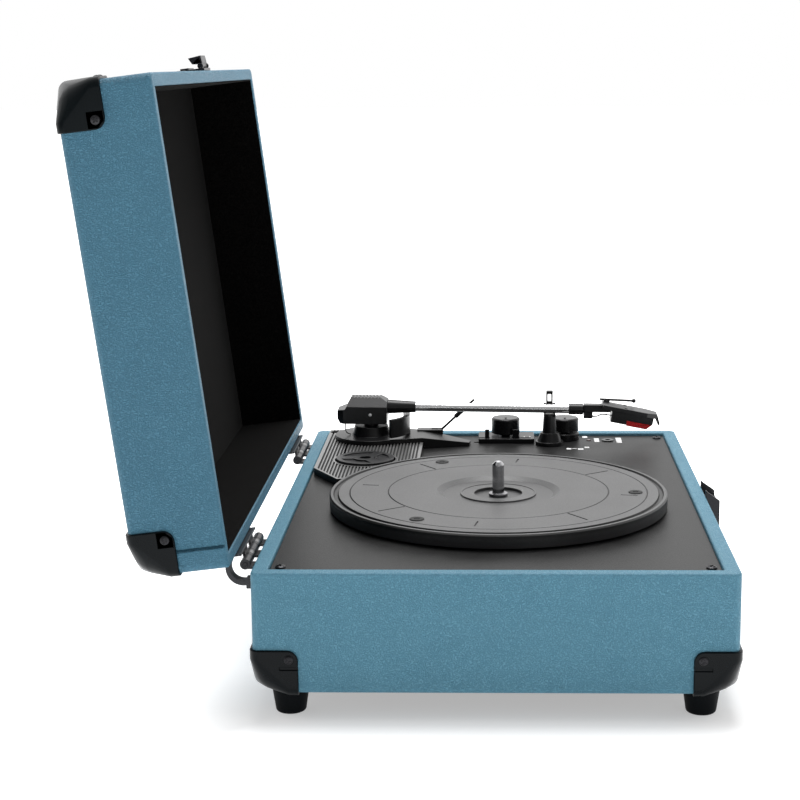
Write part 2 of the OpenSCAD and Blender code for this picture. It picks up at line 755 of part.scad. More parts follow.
module stylus() {
  color("red") with_shell() {
    difference() {
      block([-6.9, -31.5, -11.6], [6.9, -14.1, -8]);
      translate([-8, -31.5, -8.1]) rotate([42, 0, 0]) translate([0, -12, -10]) cube([16, 12, 14]);
    }
    translate([0, -27, -12.8]) cylinder(r1 = 0.25, r2 = 0.8, h = 1.4);
  }
}

module finger_lift() {
  color(soot) with_shell() {
    translate([6.5, 6, 0.9]) rotate([83, 0, 6]) cylinder(r = 0.8, h = 24);
    translate([9, -17.7, 3.8]) sphere(r = 1.5);
    block([5.5, -1, 0], [7.5, 3, 1.2]);
  }
}

module rest_post() {
  color(soot) translate([post_x, post_y, 0]) difference() {
    union() {
      translate([0, 0, deck_z]) cylinder(r = 9.7, h = 2.6);
      translate([0, 0, deck_z + 2.6]) cylinder(r1 = 8.4, r2 = 6.4, h = 6);
      translate([0, 0, deck_z + 8.5]) cylinder(r1 = 5, r2 = 4.2, h = post_tube_z - tube_r - 1.2 - deck_z - 8.5);
      block([-3.6, -4, post_tube_z - 5.4], [5.8, 4, post_tube_z - tube_r - 0.35]);
      for (e = [-1, 1]) block([tube_r + 0.4, e * 3.3 - 0.7, post_tube_z - 5], [5.8, e * 3.3 + 0.7, clip_z + 1.2]);
    }
    translate([clip_dx, -8, clip_z]) rotate([-90, 0, 0]) cylinder(r = 0.8 + fit_gap, h = 16);
  }
}

module rest_clip() {
  reach = tube_r + clip_dx + 0.4;
  color(grey) translate([post_x + clip_dx, post_y, clip_z]) {
    translate([0, -4, 0]) rotate([-90, 0, 0]) cylinder(r = 0.8, h = 8);
    block([-1, -2.3, -1], [2.6, 2.3, 1]);
    difference() {
      block([1.2, -2.3, -1], [2.6, 2.3, reach + 1.6]);
      block([0, -1.2, 2], [4, 1.2, reach - 1]);
    }
    block([-1.6, -2.3, reach], [1.3, 2.3, reach + 1.6]);
  }
}

module cue_box() {
  color(soot) difference() {
    union() {
      block([cue_x - 4, 37, deck_z], [cue_x + 4, 49.6, rim + 6.4]);
      block([cue_x - 4, 49.5, panel_z], [cue_x + 4, 55, rim + 6.4]);
    }
    block([cue_x - 1.8, 36, rim + 0.6], [cue_x + 1.8, 45, rim + 9]);
    translate([cue_x - 6, cue_pivot_y, cue_pivot_z]) rotate([0, 90, 0]) cylinder(r = 1 + fit_gap, h = 12);
  }
}

module cue_lever() {
  color(soot) translate([cue_x, cue_pivot_y, cue_pivot_z]) {
    translate([-3.8, 0, 0]) rotate([0, 90, 0]) cylinder(r = 1, h = 7.6);
    translate([-1.4, 0, 0]) rotate([0, 90, 0]) cylinder(r = 1.9, h = 2.8);
    rotate([90 - cue_angle, 0, 0]) cylinder(r = 0.8, h = 34);
    rotate([90 - cue_angle, 0, 0]) translate([0, 0, 16]) cylinder(r = 1.6, h = 13);
  }
}

module cue_platform() {
  color(soot) translate([pivot_x, pivot_y, 0]) {
    translate([0, 0, rim + 7]) linear_extrude(cue_top - 7) intersection() {
      difference() {
        circle(cue_r_out);
        circle(cue_r_in);
      }
      polygon([[0, 0], [60 * cos(-64), 60 * sin(-64)], [60 * cos(-90), 60 * sin(-90)],
               [60 * cos(-120), 60 * sin(-120)], [60 * cos(-146), 60 * sin(-146)]]);
    }
  }
  color(soot) cue_stem() translate([0, 0, deck_z + 1.4]) cylinder(r = cue_stem_r, h = 9);
}

// ---- lid ----

module lid_case() {
  color(teal) with_lid() difference() {
    as_lid() box_blob(lid_h);
    block([-half_w + lid_wall, -half_d + lid_wall, lid_z - 1],
          [half_w - lid_wall, half_d - lid_wall, lid_top - lid_wall]);
  }
}

module lid_lining() {
  t = 0.8;
  color(soot) with_lid() difference() {
    block([-half_w + lid_wall, -half_d + lid_wall, lid_z + 0.6],
          [half_w - lid_wall, half_d - lid_wall, lid_top - lid_wall]);
    block([-half_w + lid_wall + t, -half_d + lid_wall + t, lid_z],
          [half_w - lid_wall - t, half_d - lid_wall - t, lid_top - lid_wall - t]);
  }
}

module lid_corners() {
  color(soot) with_lid() as_lid() each_corner() translate([-half_w, -half_d, 0]) guard();
}

module lid_corner_screws() {
  color(steel) with_lid() as_lid() each_corner() translate([-half_w, -half_d, 0]) guard_screws();
}

module hinge_lid_leaves() {
  arm_in = 6.8;
  arm_out = 9.5;
  color(soot) {
    with_lid() each_hinge() difference() {
      union() {
        for (i = [1, 3]) knuckle(i);
        for (i = [1, 3]) translate([-hinge_len / 2 + i * knuckle_len + 0.2, 0, 0])
          block([0, -hinge_back + 0.02, 1.2], [knuckle_len - 0.4, 0, 2.6]);
        block([-hinge_len / 2, -hinge_back + 0.02, 1.2], [hinge_len / 2, -hinge_back + leaf_t + 0.02, 22]);
        block([-hinge_len / 2 - 7, -hinge_back + 0.02, 5], [-hinge_len / 2 + 3, -hinge_back + leaf_t + 0.02, 13]);
      }
      translate([-hinge_len, 0, 0]) rotate([0, 90, 0]) cylinder(r = hinge_pin_r + fit_gap, h = 2 * hinge_len);
      for (i = [0, 2, 4]) translate([-hinge_len / 2 + i * knuckle_len, 0, 0]) rotate([0, 90, 0])
        cylinder(r = knuckle_r + safe_gap, h = knuckle_len);
      for (x = [-18, 0, 18]) translate([x, -hinge_back - 1, 15]) rotate([-90, 0, 0]) cylinder(r = 1.7, h = 4);
    }
    // stop arm: a hook on the lid's leaf that meets the base's leaf when the lid is open
    each_hinge() translate([-hinge_len / 2 - 7, 0, 0]) rotate([90, 0, 90]) linear_extrude(6.6) {
      intersection() {
        difference() {
          circle(arm_out);
          circle(arm_in);
        }
        polygon([[0, 0], for (a = [30:-25:-120]) 30 * [cos(a), sin(a)]]);
      }
      translate([-hinge_back + leaf_t + 0.32, -11.2]) square([3.2, 5.6]);
    }
  }
}

module hasp_plate() {
  color(soot) with_lid() difference() {
    union() {
      block([-11, -half_d - 1.6, lid_z + 1], [11, -half_d, lid_z + 18]);
      block([-9, -half_d - 2.6, lid_z + 10.5], [9, -half_d - 1.5, lid_z + 15.5]);
      for (s = [-1, 1]) {
        translate([s * 9.5 - 1, hasp_y, hasp_z]) rotate([0, 90, 0]) cylinder(r = 1.7, h = 2);
        translate([s * 9.5 - 1, 0, 0]) block([0, hasp_y, hasp_z - 1], [2, -half_d - 1.5, hasp_z + 1]);
      }
    }
    translate([-20, hasp_y, hasp_z]) rotate([0, 90, 0]) cylinder(r = hasp_pin_r + fit_gap, h = 40);
    for (s = [-1, 1]) translate([s * 7, -half_d - 1.7, lid_z + 16.6]) rotate([-90, 0, 0])
      cylinder(r = 0.8, h = 3);
  }
}

module hasp() {
  color(soot) with_lid() translate([0, hasp_y, hasp_z]) {
    translate([-10.4, 0, 0]) rotate([0, 90, 0]) cylinder(r = hasp_pin_r, h = 20.8);
    block([-8, -1.6, -0.9], [8, 0.5, 0.9]);
    difference() {
      translate([-8, 0, 0]) rotate([90, 0, 90]) linear_extrude(16)
        polygon([[-6.1, -0.6], [-5.2, 7], [-1.5, 5], [-1.3, -0.9]]);
      block([-6.6, -7, 1.2], [6.6, -2.7, 8]);
    }
  }
}

base_case();
bottom_panel();
deck_panel();
feet();
foot_screws();
base_corners();
base_corner_screws();
deck_screws();
ribbed_panel();
hinge_base_leaves();
hinge_pins();
latch_catch();
latch_button();
handle_brackets();
handle();
speaker_left();
speaker_right();
speaker_grilles();
jack_plate();
control_board();
motor();
motor_pulley();
drive_belt();
platter_bearing();
spindle();
spindle_clip();
platter();
platter_pads();
adapter_45();
console();
speed_switch();
stop_switch();
volume_knob();
tone_knob();
knob_collars();
headphone_jack();
power_lamp();
arm_base();
arm_yoke();
arm_housing();
arm_tube();
headshell();
cartridge();
stylus();
finger_lift();
rest_post();
rest_clip();
cue_box();
cue_lever();
cue_platform();
lid_case();
lid_lining();
lid_corners();
lid_corner_screws();
hinge_lid_leaves();
hasp_plate();
hasp();
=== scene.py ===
"""A record player built into a suitcase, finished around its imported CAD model.

The file follows the player as it is put together: the studio, the wooden case and its trim, the deck and
platter, the controls, the tonearm, and last the lid with its hinges and latch. Lengths are in metres.
"""

import json
import math

import bmesh
import bpy
from mathutils import Matrix, Vector

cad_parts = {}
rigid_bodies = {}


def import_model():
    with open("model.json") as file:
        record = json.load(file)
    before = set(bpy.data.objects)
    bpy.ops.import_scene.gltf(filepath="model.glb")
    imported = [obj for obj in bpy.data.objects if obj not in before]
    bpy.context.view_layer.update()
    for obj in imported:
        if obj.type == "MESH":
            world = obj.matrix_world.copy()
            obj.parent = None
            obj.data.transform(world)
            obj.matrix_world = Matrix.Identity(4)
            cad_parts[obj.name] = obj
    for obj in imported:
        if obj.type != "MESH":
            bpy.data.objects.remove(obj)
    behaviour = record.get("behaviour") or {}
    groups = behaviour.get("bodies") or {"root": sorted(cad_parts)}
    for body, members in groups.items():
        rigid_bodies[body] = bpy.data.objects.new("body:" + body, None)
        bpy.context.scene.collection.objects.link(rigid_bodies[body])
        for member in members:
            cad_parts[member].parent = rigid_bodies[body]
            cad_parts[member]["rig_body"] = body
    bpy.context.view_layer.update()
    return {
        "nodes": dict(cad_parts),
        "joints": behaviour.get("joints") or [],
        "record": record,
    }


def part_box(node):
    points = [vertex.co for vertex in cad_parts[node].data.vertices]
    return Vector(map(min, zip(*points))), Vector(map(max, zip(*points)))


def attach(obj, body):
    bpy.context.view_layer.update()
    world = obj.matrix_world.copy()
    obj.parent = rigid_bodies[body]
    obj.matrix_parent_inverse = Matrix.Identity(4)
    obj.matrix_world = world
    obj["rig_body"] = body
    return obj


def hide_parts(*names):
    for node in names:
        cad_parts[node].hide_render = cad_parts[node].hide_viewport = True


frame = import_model()
nodes = frame["nodes"]
joints = {joint["name"]: joint for joint in frame["joints"]}
slots = {row["node"]: row["material_slot"] for row in frame["record"]["subparts"]}
MM = 0.001

# ---- The studio ----
# A long lens looks along the player's width from the side that the lid's edge shows on.
# The floor and the air round it are white, and one big soft lamp hangs overhead.
scene = bpy.context.scene
camera_at = Vector((-1.0384, -0.0008, 0.3406))
looks_down = math.radians(11.003)
turned_left = math.radians(1.409)
leans = math.radians(-0.302)
lens_per_frame = 2.16582                  # focal length over the picture's width
sensor = 36.0

ahead = Vector((math.cos(looks_down) * math.cos(turned_left), math.cos(looks_down) * math.sin(turned_left),
                -math.sin(looks_down)))
level = ahead.cross(Vector((0, 0, 1))).normalized()
upright = level.cross(ahead)
rightward = level * math.cos(leans) + upright * math.sin(leans)
upward = upright * math.cos(leans) - level * math.sin(leans)
camera = bpy.data.objects.new("camera", bpy.data.cameras.new("camera"))
facing = Matrix((rightward, upward, -ahead)).transposed().to_4x4()
camera.matrix_world = Matrix.Translation(camera_at) @ facing
camera.data.sensor_width = sensor
camera.data.lens = lens_per_frame * sensor
camera.data.shift_x = -0.06875
camera.data.shift_y = -0.00156
scene.collection.objects.link(camera)
scene.camera = camera
scene.view_settings.view_transform = "Standard"
case_half_w = 177.5 * MM                  # the case's footprint, for the glow of the floor
case_half_d = 127.5 * MM


def as_mesh(shape, name):
    """A mesh with what a bmesh holds. The bmesh is used up."""
    mesh = bpy.data.meshes.new(name)
    shape.to_mesh(mesh)
    shape.free()
    return mesh


def lamp(name, place, target, size, power):
    """A square soft lamp that faces target."""
    light = bpy.data.objects.new(name, bpy.data.lights.new(name, "AREA"))
    light.data.size = size
    light.data.energy = power
    light.location = place
    light.rotation_euler = (Vector(target) - Vector(place)).to_track_quat("-Z", "Y").to_euler()
    scene.collection.objects.link(light)


lamp("overhead_lamp", (0.35, 0.0, 1.6), (0, 0, 0.1), 0.9, 24)
lamp("front_lamp", (-1.6, -0.9, 0.25), (0, 0, 0.03), 0.8, 3)


class Shade:
    """One socket of a material. Sums on it add the Math nodes that work them out."""

    def __init__(self, tree, socket):
        self.tree, self.socket = tree, socket

    def node(self, kind, settings=None, values=None, out=0):
        """Adds a node, sets it up, then fills its inputs with numbers or other Shades."""
        made = self.tree.nodes.new("ShaderNode" + kind)
        for name, value in (settings or {}).items():
            setattr(made, name, value)
        for name, value in (values or {}).items():
            if isinstance(value, Shade):
                self.tree.links.new(value.socket, made.inputs[name])
            else:
                made.inputs[name].default_value = value
        return Shade(self.tree, made.outputs[out])

    def math(self, operation, a, b):
        return self.node("Math", {"operation": operation}, {0: a, 1: b})

    def __add__(self, other):
        return self.math("ADD", self, other)

    def __sub__(self, other):
        return self.math("SUBTRACT", self, other)

    def __rsub__(self, other):
        return self.math("SUBTRACT", other, self)

    def __mul__(self, other):
        return self.math("MULTIPLY", self, other)

    __radd__ = __add__
    __rmul__ = __mul__

    def stretched(self, scale):
        return self.node("Mapping", {}, {"Vector": self, "Scale": scale})

    def noise(self, scale, detail=3.0):
        return self.node("TexNoise", {}, {"Vector": self, "Scale": scale, "Detail": detail})

    def tint(self, low, high):
        """Colours from low, at 0, to high, at 1."""
        return self.node("Mix", {"data_type": "RGBA"}, {0: self, 6: (*low, 1), 7: (*high, 1)}, out=2)

    def ramp(self, start, stop):
        """0 below start and 1 above stop, with a smooth rise between them."""
        return self.node("MapRange", {"interpolation_type": "SMOOTHSTEP"},
                         {"Value": self, "From Min": start, "From Max": stop})

    def bump(self, depth, strength=1.0):
        return self.node("Bump", {}, {"Height": self, "Distance": depth, "Strength": strength})


def new_material(name, **settled):
    """A material, its surface shader with some sockets settled, and its object coordinates."""
    made = bpy.data.materials.new(name)
    made.use_nodes = True
    tree = made.node_tree
    surface = tree.nodes["Principled BSDF"]
    for socket, value in settled.items():
        surface.inputs[socket.replace("_", " ")].default_value = value
    return made, surface, Shade(tree, tree.nodes.new("ShaderNodeTexCoord").outputs["Object"])


def connect(surface, **shades):
    for socket, shade in shades.items():
        shade.tree.links.new(shade.socket, surface.inputs[socket.replace("_", " ")])


def white_air():
    """A world that is white to look at. As light it is brightest behind the player and above it."""
    made = bpy.data.worlds.new("white_air")
    made.use_nodes = True
    tree = made.node_tree
    way = Shade(tree, tree.nodes.new("ShaderNodeTexCoord").outputs["Generated"])
    behind = way.node("SeparateXYZ", {}, {"Vector": way}, out=0).ramp(-0.5, 0.6)
    above = way.node("SeparateXYZ", {}, {"Vector": way}, out=2).ramp(0.1, 0.9)
    seen = Shade(tree, tree.nodes.new("ShaderNodeLightPath").outputs["Is Camera Ray"])
    light = 0.26 + behind * 1.1 + above * 0.2
    tree.links.new((light + seen * (1 - light)).socket, tree.nodes["Background"].inputs["Strength"])
    tree.nodes["Background"].inputs["Color"].default_value = (1, 1, 1, 1)
    scene.world = made


def white_floor():
    """Lit paper that glows: painted light that lifts its shadows, weakest at the case's footprint and
    stronger further out, so that the shade stays close to the case and the paper meets the air without a
    line.
    """
    paper, surface, place = new_material("white_paper", Base_Color=(0.62, 0.62, 0.62, 1), Roughness=1.0)
    surface.inputs["Specular IOR Level"].default_value = 0.0
    surface.inputs["Emission Strength"].default_value = 1.0
    apart = place.node("VectorMath", {"operation": "ABSOLUTE"}, {0: place})
    past_side = apart.node("SeparateXYZ", {}, {"Vector": apart}, out=0) - case_half_w
    past_front = apart.node("SeparateXYZ", {}, {"Vector": apart}, out=1) - case_half_d
    reach = past_side.math("MAXIMUM", past_side, past_front).ramp(-0.01, 0.08)
    # The glow is painted light: it lifts the shade on the paper everywhere, least near the case, so a short
    # shadow stays round its footprint.
    connect(surface, Emission_Color=0.4 + reach * 0.8)
    shape = bmesh.new()
    bmesh.ops.create_grid(shape, x_segments=1, y_segments=1, size=12)
    floor = bpy.data.objects.new("floor", as_mesh(shape, "floor"))
    floor.data.materials.append(paper)
    scene.collection.objects.link(floor)


white_air()
white_floor()

# ---- Base case ----
# A box of glued board, wrapped in teal leatherette with a pebbled grain that is turned over the rim.
# The grain is pressed into the vinyl. Its colour holds painted shade, darker in the creases, and painted
# light, lighter on the tops.


def new_piece(name, mesh, paint):
    """An object for a mesh, with its material."""
    piece = bpy.data.objects.new(name, mesh)
    mesh.materials.clear()
    mesh.materials.append(paint)
    scene.collection.objects.link(piece)
    return piece


def hand_over(piece, body, slot, *stands_for):
    """A finished piece rides on its body, and hides the CAD nodes it stands for. Its slot is not used."""
    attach(piece, body)
    if stands_for:
        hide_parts(*stands_for)


def settle(piece):
    """Turns a piece's modifiers into plain mesh."""
    bpy.context.view_layer.update()
    seen = piece.evaluated_get(bpy.context.evaluated_depsgraph_get())
    mesh = bpy.data.meshes.new_from_object(seen)
    piece.modifiers.clear()
    piece.data = mesh
    return mesh


def smooth(mesh, sharp=32):
    mesh.polygons.foreach_set("use_smooth", [True] * len(mesh.polygons))
    mesh.set_sharp_from_angle(angle=math.radians(sharp))


def welded(node):
    """A copy of a CAD node's mesh, with its points merged and its flat faces whole."""
    mesh = nodes[node].data.copy()
    shape = bmesh.new()
    shape.from_mesh(mesh)
    bmesh.ops.remove_doubles(shape, verts=shape.verts, dist=0.004 * MM)
    bmesh.ops.dissolve_limit(shape, angle_limit=math.radians(0.4), verts=shape.verts, edges=shape.edges)
    shape.to_mesh(mesh)
    shape.free()
    return mesh


def cut(piece, tool_mesh):
    """Takes tool_mesh away from a piece."""
    tool = bpy.data.objects.new("tool", tool_mesh)
    scene.collection.objects.link(tool)
    change = piece.modifiers.new("cut", "BOOLEAN")
    change.operation, change.solver, change.object = "DIFFERENCE", "EXACT", tool
    settle(piece)
    bpy.data.objects.remove(tool)


def round_edges(piece, edge, steps=2, sharp=30):
    """Rounds a piece's sharp edges and lets its big faces rule the shading."""
    mesh = piece.data
    smooth(mesh, sharp)
    bevel = piece.modifiers.new("edges", "BEVEL")
    bevel.width, bevel.segments, bevel.limit_method = edge, steps, "ANGLE"
    bevel.angle_limit = math.radians(sharp)
    bevel.use_clamp_overlap = False
    bevel.harden_normals = True
    weighted = piece.modifiers.new("shading", "WEIGHTED_NORMAL")
    weighted.keep_sharp = True
    settle(piece)


def finish_node(node, paint, edge=0.3 * MM, steps=2, sharp=30, tools=()):
    """A piece that stands for a CAD node, with its details cut in and its edges rounded."""
    piece = new_piece(node + "_finish", welded(node), paint)
    for tool in tools:
        cut(piece, tool)
    round_edges(piece, edge, steps, sharp)
    hand_over(piece, nodes[node]["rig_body"], slots[node], node)


def box_mesh(low, high, turn=None):
    """A closed box between two opposite corners, turned by a matrix if there is one."""
    shape = bmesh.new()
    bmesh.ops.create_cube(shape, size=1)
    size = Vector([abs(length) for length in Vector(high) - Vector(low)])
    middle = (Vector(high) + Vector(low)) / 2
    place = Matrix.Translation(middle) @ Matrix.Diagonal((*size, 1))
    bmesh.ops.transform(shape, matrix=(turn or Matrix.Identity(4)) @ place, verts=shape.verts)
    return as_mesh(shape, "box")


def joined(meshes, name="joined"):
    """One mesh that holds several."""
    shape = bmesh.new()
    for mesh in meshes:
        shape.from_mesh(mesh)
    return as_mesh(shape, name)


def teal_leatherette(name, grain, low, high, depth):
    """Embossed vinyl. grain is wrinkles per metre along each axis, low the colour of its creases and high
    that of its tops: painted shade in the creases and painted light on the tops, mixed with random mottle.
    """
    paint, surface, place = new_material(name)
    surface.inputs["Specular IOR Level"].default_value = 0.35
    wrinkle = place.node("TexNoise", {}, {"Vector": place.stretched(grain), "Scale": 1.0, "Detail": 2.5,
                                          "Roughness": 0.55, "Distortion": 0.5})
    crease = wrinkle.math("ABSOLUTE", wrinkle - 0.5, 0.0).ramp(0.0, 0.11)
    fine = place.noise(2400, 2.0)
    mottle = place.noise(40, 3.0)
    # Colour: the crease and wrinkle terms are painted shade in the creases and painted light on the tops;
    # fine and mottle are random tone.
    tone = crease * 0.3 + wrinkle * 0.24 + fine * 0.3 + mottle * 0.16
    relief = wrinkle * 0.6 + crease * 0.6 + fine * 0.12
    connect(surface, Base_Color=tone.ramp(0.2, 0.85).tint(low, high), Roughness=0.6 - crease * 0.12,
            Normal=relief.bump(depth, 0.9))
    return paint


# The base's copy of the leatherette is a lighter teal than the lid's: painted light for the bounce off the
# floor.
base_leatherette_lit = teal_leatherette("base_leatherette_lit", (900, 800, 1100), (0.055, 0.17, 0.245),
                                    (0.095, 0.255, 0.345), 0.35 * MM)
finish_node("base_case", base_leatherette_lit, 1.1 * MM, steps=3, sharp=40)

# ---- Bottom panel ----
# A black painted hardboard sheet, screwed up under the box, with a row of air holes under the motor.
# Its rough side faces down.


def plain_finish(name, low, high, roughness, grain, depth, shine=0.25, **settled):
    """A finish whose tone and bump both follow one fine grain. grain is its size, depth its relief."""
    paint, surface, place = new_material(name, **settled)
    surface.inputs["Specular IOR Level"].default_value = shine
    speckle = place.noise(1 / grain, 2.0)
    drift = place.noise(25, 3.0)
    connect(surface, Base_Color=(speckle * 0.5 + drift * 0.5).ramp(0.3, 0.7).tint(low, high),
            Roughness=roughness + drift * 0.12 - 0.06, Normal=speckle.bump(depth, 0.6))
    return paint


hardboard = plain_finish("black_hardboard", (0.014, 0.012, 0.011), (0.035, 0.031, 0.028), 0.75, 0.9 * MM,
                         0.2 * MM)
finish_node("bottom_panel", hardboard, 0.4 * MM)

# ---- Feet ----
# Four tapered rubber feet, each held by a screw that sinks into its sole.
# The rubber is matt and slightly dusty.
foot_rubber = plain_finish("foot_rubber", (0.001, 0.002, 0.003), (0.004, 0.005, 0.006), 0.5, 0.7 * MM,
                           0.05 * MM, shine=0.06)
finish_node("feet", foot_rubber, 1.2 * MM, steps=4)
zinc = plain_finish("zinc_plate", (0.42, 0.43, 0.45), (0.6, 0.61, 0.63), 0.35, 0.4 * MM, 0.02 * MM,
                    Metallic=1.0)
finish_node("foot_screws", zinc, 0.15 * MM)

# ---- Corner guards of the base ----
# Moulded black caps with a fine satin skin wrap the four lower corners.
# Each has a slot beside its screws, left by the tool that cored the thin free corner.
guard_plastic = plain_finish("guard_plastic", (0.001, 0.002, 0.003), (0.003, 0.005, 0.006), 0.28, 0.5 * MM,
                             0.02 * MM, shine=0.1)
corners = [(sx, sy) for sx in (-1, 1) for sy in (-1, 1)]
case_low, case_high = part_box("base_case")
half_w = case_high.x
half_d = case_high.y
guard_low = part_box("base_corners")[0]
guard_t = -half_w - guard_low.x
guard_reach = 24 * MM
screw_in = 4.5 * MM                       # from both free edges of a guard


def guard_slots():
    """The slots in the side and front faces of the four base guards."""
    slots_made = []
    width = 1.7 * MM
    depth = 0.8 * MM
    clear = 5 * MM                        # how far the cutting boxes stand out of the case
    inner = guard_reach - 9.5 * MM
    outer = guard_reach + 1 * MM
    top = case_low.z + guard_reach - screw_in - 4.1 * MM
    for sx, sy in corners:
        slots_made.append(box_mesh((sx * (half_w + guard_t - depth), sy * (half_d - inner), top - width),
                                   (sx * (half_w + clear), sy * (half_d - outer), top)))
        slots_made.append(box_mesh((sx * (half_w - inner), sy * (half_d + guard_t - depth), top - width),
                                   (sx * (half_w - outer), sy * (half_d + clear), top)))
    return joined(slots_made)


finish_node("base_corners", guard_plastic, 0.3 * MM, sharp=40, tools=[guard_slots()])

# ---- Guard screws ----
# Cross-head screws with domed black heads, two on each guard, standing slightly proud.
# One head is turned and stamped, and the nodes set a copy of it at each point, along that point's normal.
black_oxide = plain_finish("black_oxide", (0.012, 0.012, 0.014), (0.03, 0.03, 0.033), 0.3, 0.3 * MM,
                           0.02 * MM, Metallic=0.6)


def screw_head(radius, height):
    """A dome with a cross recess, seated at z = 0."""
    shape = bmesh.new()
    steps = [(radius, -0.6 * MM), (radius, 0.0), (radius * 0.92, height * 0.5),
             (radius * 0.66, height * 0.86), (radius * 0.3, height), (0, height)]
    points = [shape.verts.new((r, 0, z)) for r, z in steps]
    for a, b in zip(points, points[1:]):
        shape.edges.new((a, b))
    bmesh.ops.spin(shape, geom=shape.verts[:] + shape.edges[:], cent=(0, 0, 0), axis=(0, 0, 1),
                   angle=math.tau, steps=28)
    bmesh.ops.remove_doubles(shape, verts=shape.verts, dist=0.01 * MM)
    bmesh.ops.holes_fill(shape, edges=shape.edges)
    bmesh.ops.recalc_face_normals(shape, faces=shape.faces)
    head = bpy.data.objects.new("screw_head", as_mesh(shape, "screw_head"))
    scene.collection.objects.link(head)
    long, thin = radius * 0.62, radius * 0.15
    for turned in (0, 90):
        blade = box_mesh((-long, -thin, height * 0.35), (long, thin, height + 1 * MM),
                         Matrix.Rotation(math.radians(turned), 4, "Z"))
        cut(head, blade)
    smooth(head.data)
    return head


def copying_nodes(name, paint, *sockets):
    """A node tree with (name, kind) inputs. It ends in copies that are made real and painted.

    Gives the tree, its entry and the node that sets the copies."""
    tree = bpy.data.node_groups.new(name, "GeometryNodeTree")
    for socket, kind in sockets:
        tree.interface.new_socket(socket, in_out="INPUT", socket_type="NodeSocket" + kind)
    tree.interface.new_socket("Geometry", in_out="OUTPUT", socket_type="NodeSocketGeometry")
    entry, leave = tree.nodes.new("NodeGroupInput"), tree.nodes.new("NodeGroupOutput")
    place = tree.nodes.new("GeometryNodeInstanceOnPoints")
    real = tree.nodes.new("GeometryNodeRealizeInstances")
    coat = tree.nodes.new("GeometryNodeSetMaterial")
    coat.inputs["Material"].default_value = paint
    tree.links.new(place.outputs["Instances"], real.inputs["Geometry"])
    tree.links.new(real.outputs["Geometry"], coat.inputs["Geometry"])
    tree.links.new(coat.outputs["Geometry"], leave.inputs["Geometry"])
    return tree, entry, place


def run_nodes(piece, tree, **inputs):
    """Puts a node tree on a piece, sets its named inputs, and makes the result plain mesh."""
    change = piece.modifiers.new("nodes", "NODES")
    change.node_group = tree
    for item in tree.interface.items_tree:
        if item.in_out == "INPUT" and item.name in inputs:
            change[item.identifier] = inputs[item.name]
    return settle(piece)


def screw_nodes(head, paint):
    """Nodes that put a copy of head on each point, facing along the point's normal."""
    tree, entry, place = copying_nodes("set_screws", paint, ("Geometry", "Geometry"), ("Turn", "Float"))
    source = tree.nodes.new("GeometryNodeObjectInfo")
    source.inputs["Object"].default_value = head
    way = tree.nodes.new("GeometryNodeInputNamedAttribute")
    way.data_type = "FLOAT_VECTOR"
    way.inputs["Name"].default_value = "way"
    align = tree.nodes.new("FunctionNodeAlignRotationToVector")
    spin = tree.nodes.new("FunctionNodeRotateRotation")
    spin.rotation_space = "LOCAL"
    chance = tree.nodes.new("FunctionNodeRandomValue")
    chance.inputs["Seed"].default_value = 4
    turn = tree.nodes.new("ShaderNodeCombineXYZ")
    link = tree.links.new
    link(entry.outputs["Geometry"], place.inputs["Points"])
    link(source.outputs["Geometry"], place.inputs["Instance"])
    link(way.outputs["Attribute"], align.inputs["Vector"])
    link(entry.outputs["Turn"], chance.inputs[3])
    link(chance.outputs[1], turn.inputs["Z"])
    link(align.outputs["Rotation"], spin.inputs["Rotation"])
    link(turn.outputs["Vector"], spin.inputs["Rotate By"])
    link(spin.outputs["Rotation"], place.inputs["Rotation"])
    return tree


def set_screws(name, points, body, slot, head, *stands_for):
    """Screws at (place, way) pairs, as one mesh."""
    mesh = bpy.data.meshes.new(name)
    mesh.from_pydata([place for place, _ in points], [], [])
    facing = mesh.attributes.new("way", "FLOAT_VECTOR", "POINT")
    for row, (_, way) in zip(facing.data, points):
        row.vector = way
    piece = new_piece(name, mesh, black_oxide)
    smooth(run_nodes(piece, screw_nodes(head, black_oxide), Turn=math.pi / 2))
    hand_over(piece, body, slot, *stands_for)


def guard_screw_points(closed_z, inwards, turn=Matrix.Identity(4)):
    """The two screws of each of four guards.

    closed_z is the closed face, and inwards is 1 for up, -1 for down."""
    at = guard_reach - screw_in
    z = closed_z + inwards * at
    found = []
    for sx, sy in corners:
        on_side = Vector((sx * (half_w + guard_t), sy * (half_d - at), z))
        on_front = Vector((sx * (half_w - at), sy * (half_d + guard_t), z))
        found.append((turn @ on_side, turn.to_3x3() @ Vector((sx, 0, 0))))
        found.append((turn @ on_front, turn.to_3x3() @ Vector((0, sy, 0))))
    return found


guard_head = screw_head(2.5 * MM, 0.95 * MM)
set_screws("base_guard_screws", guard_screw_points(case_low.z, 1), "base", slots["base_corner_screws"],
           guard_head, "base_corner_screws")

# ---- Deck ----
# A sheet of board faced with black grained vinyl rests on a ledge inside the case, 2 mm below its rim.
# The grain is fine and even, like a book cover, and the four corner screws pull it down.
deck_vinyl = plain_finish("deck_vinyl", (0.001, 0.001, 0.001), (0.022, 0.022, 0.022), 0.42, 0.9 * MM,
                          0.16 * MM, shine=0.18)
finish_node("deck_panel", deck_vinyl, 0.2 * MM)
deck_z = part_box("deck_panel")[1].z
deck_screw_w, deck_screw_d = half_w - 17.5 * MM, half_d - 14 * MM
deck_head = screw_head(3.0 * MM, 1.5 * MM)
deck_spots = [Vector((sx * deck_screw_w, sy * deck_screw_d, deck_z)) for sx, sy in corners]
set_screws("deck_panel_screws", [(spot, Vector((0, 0, 1))) for spot in deck_spots], "base",
           slots["deck_screws"], deck_head, "deck_screws")

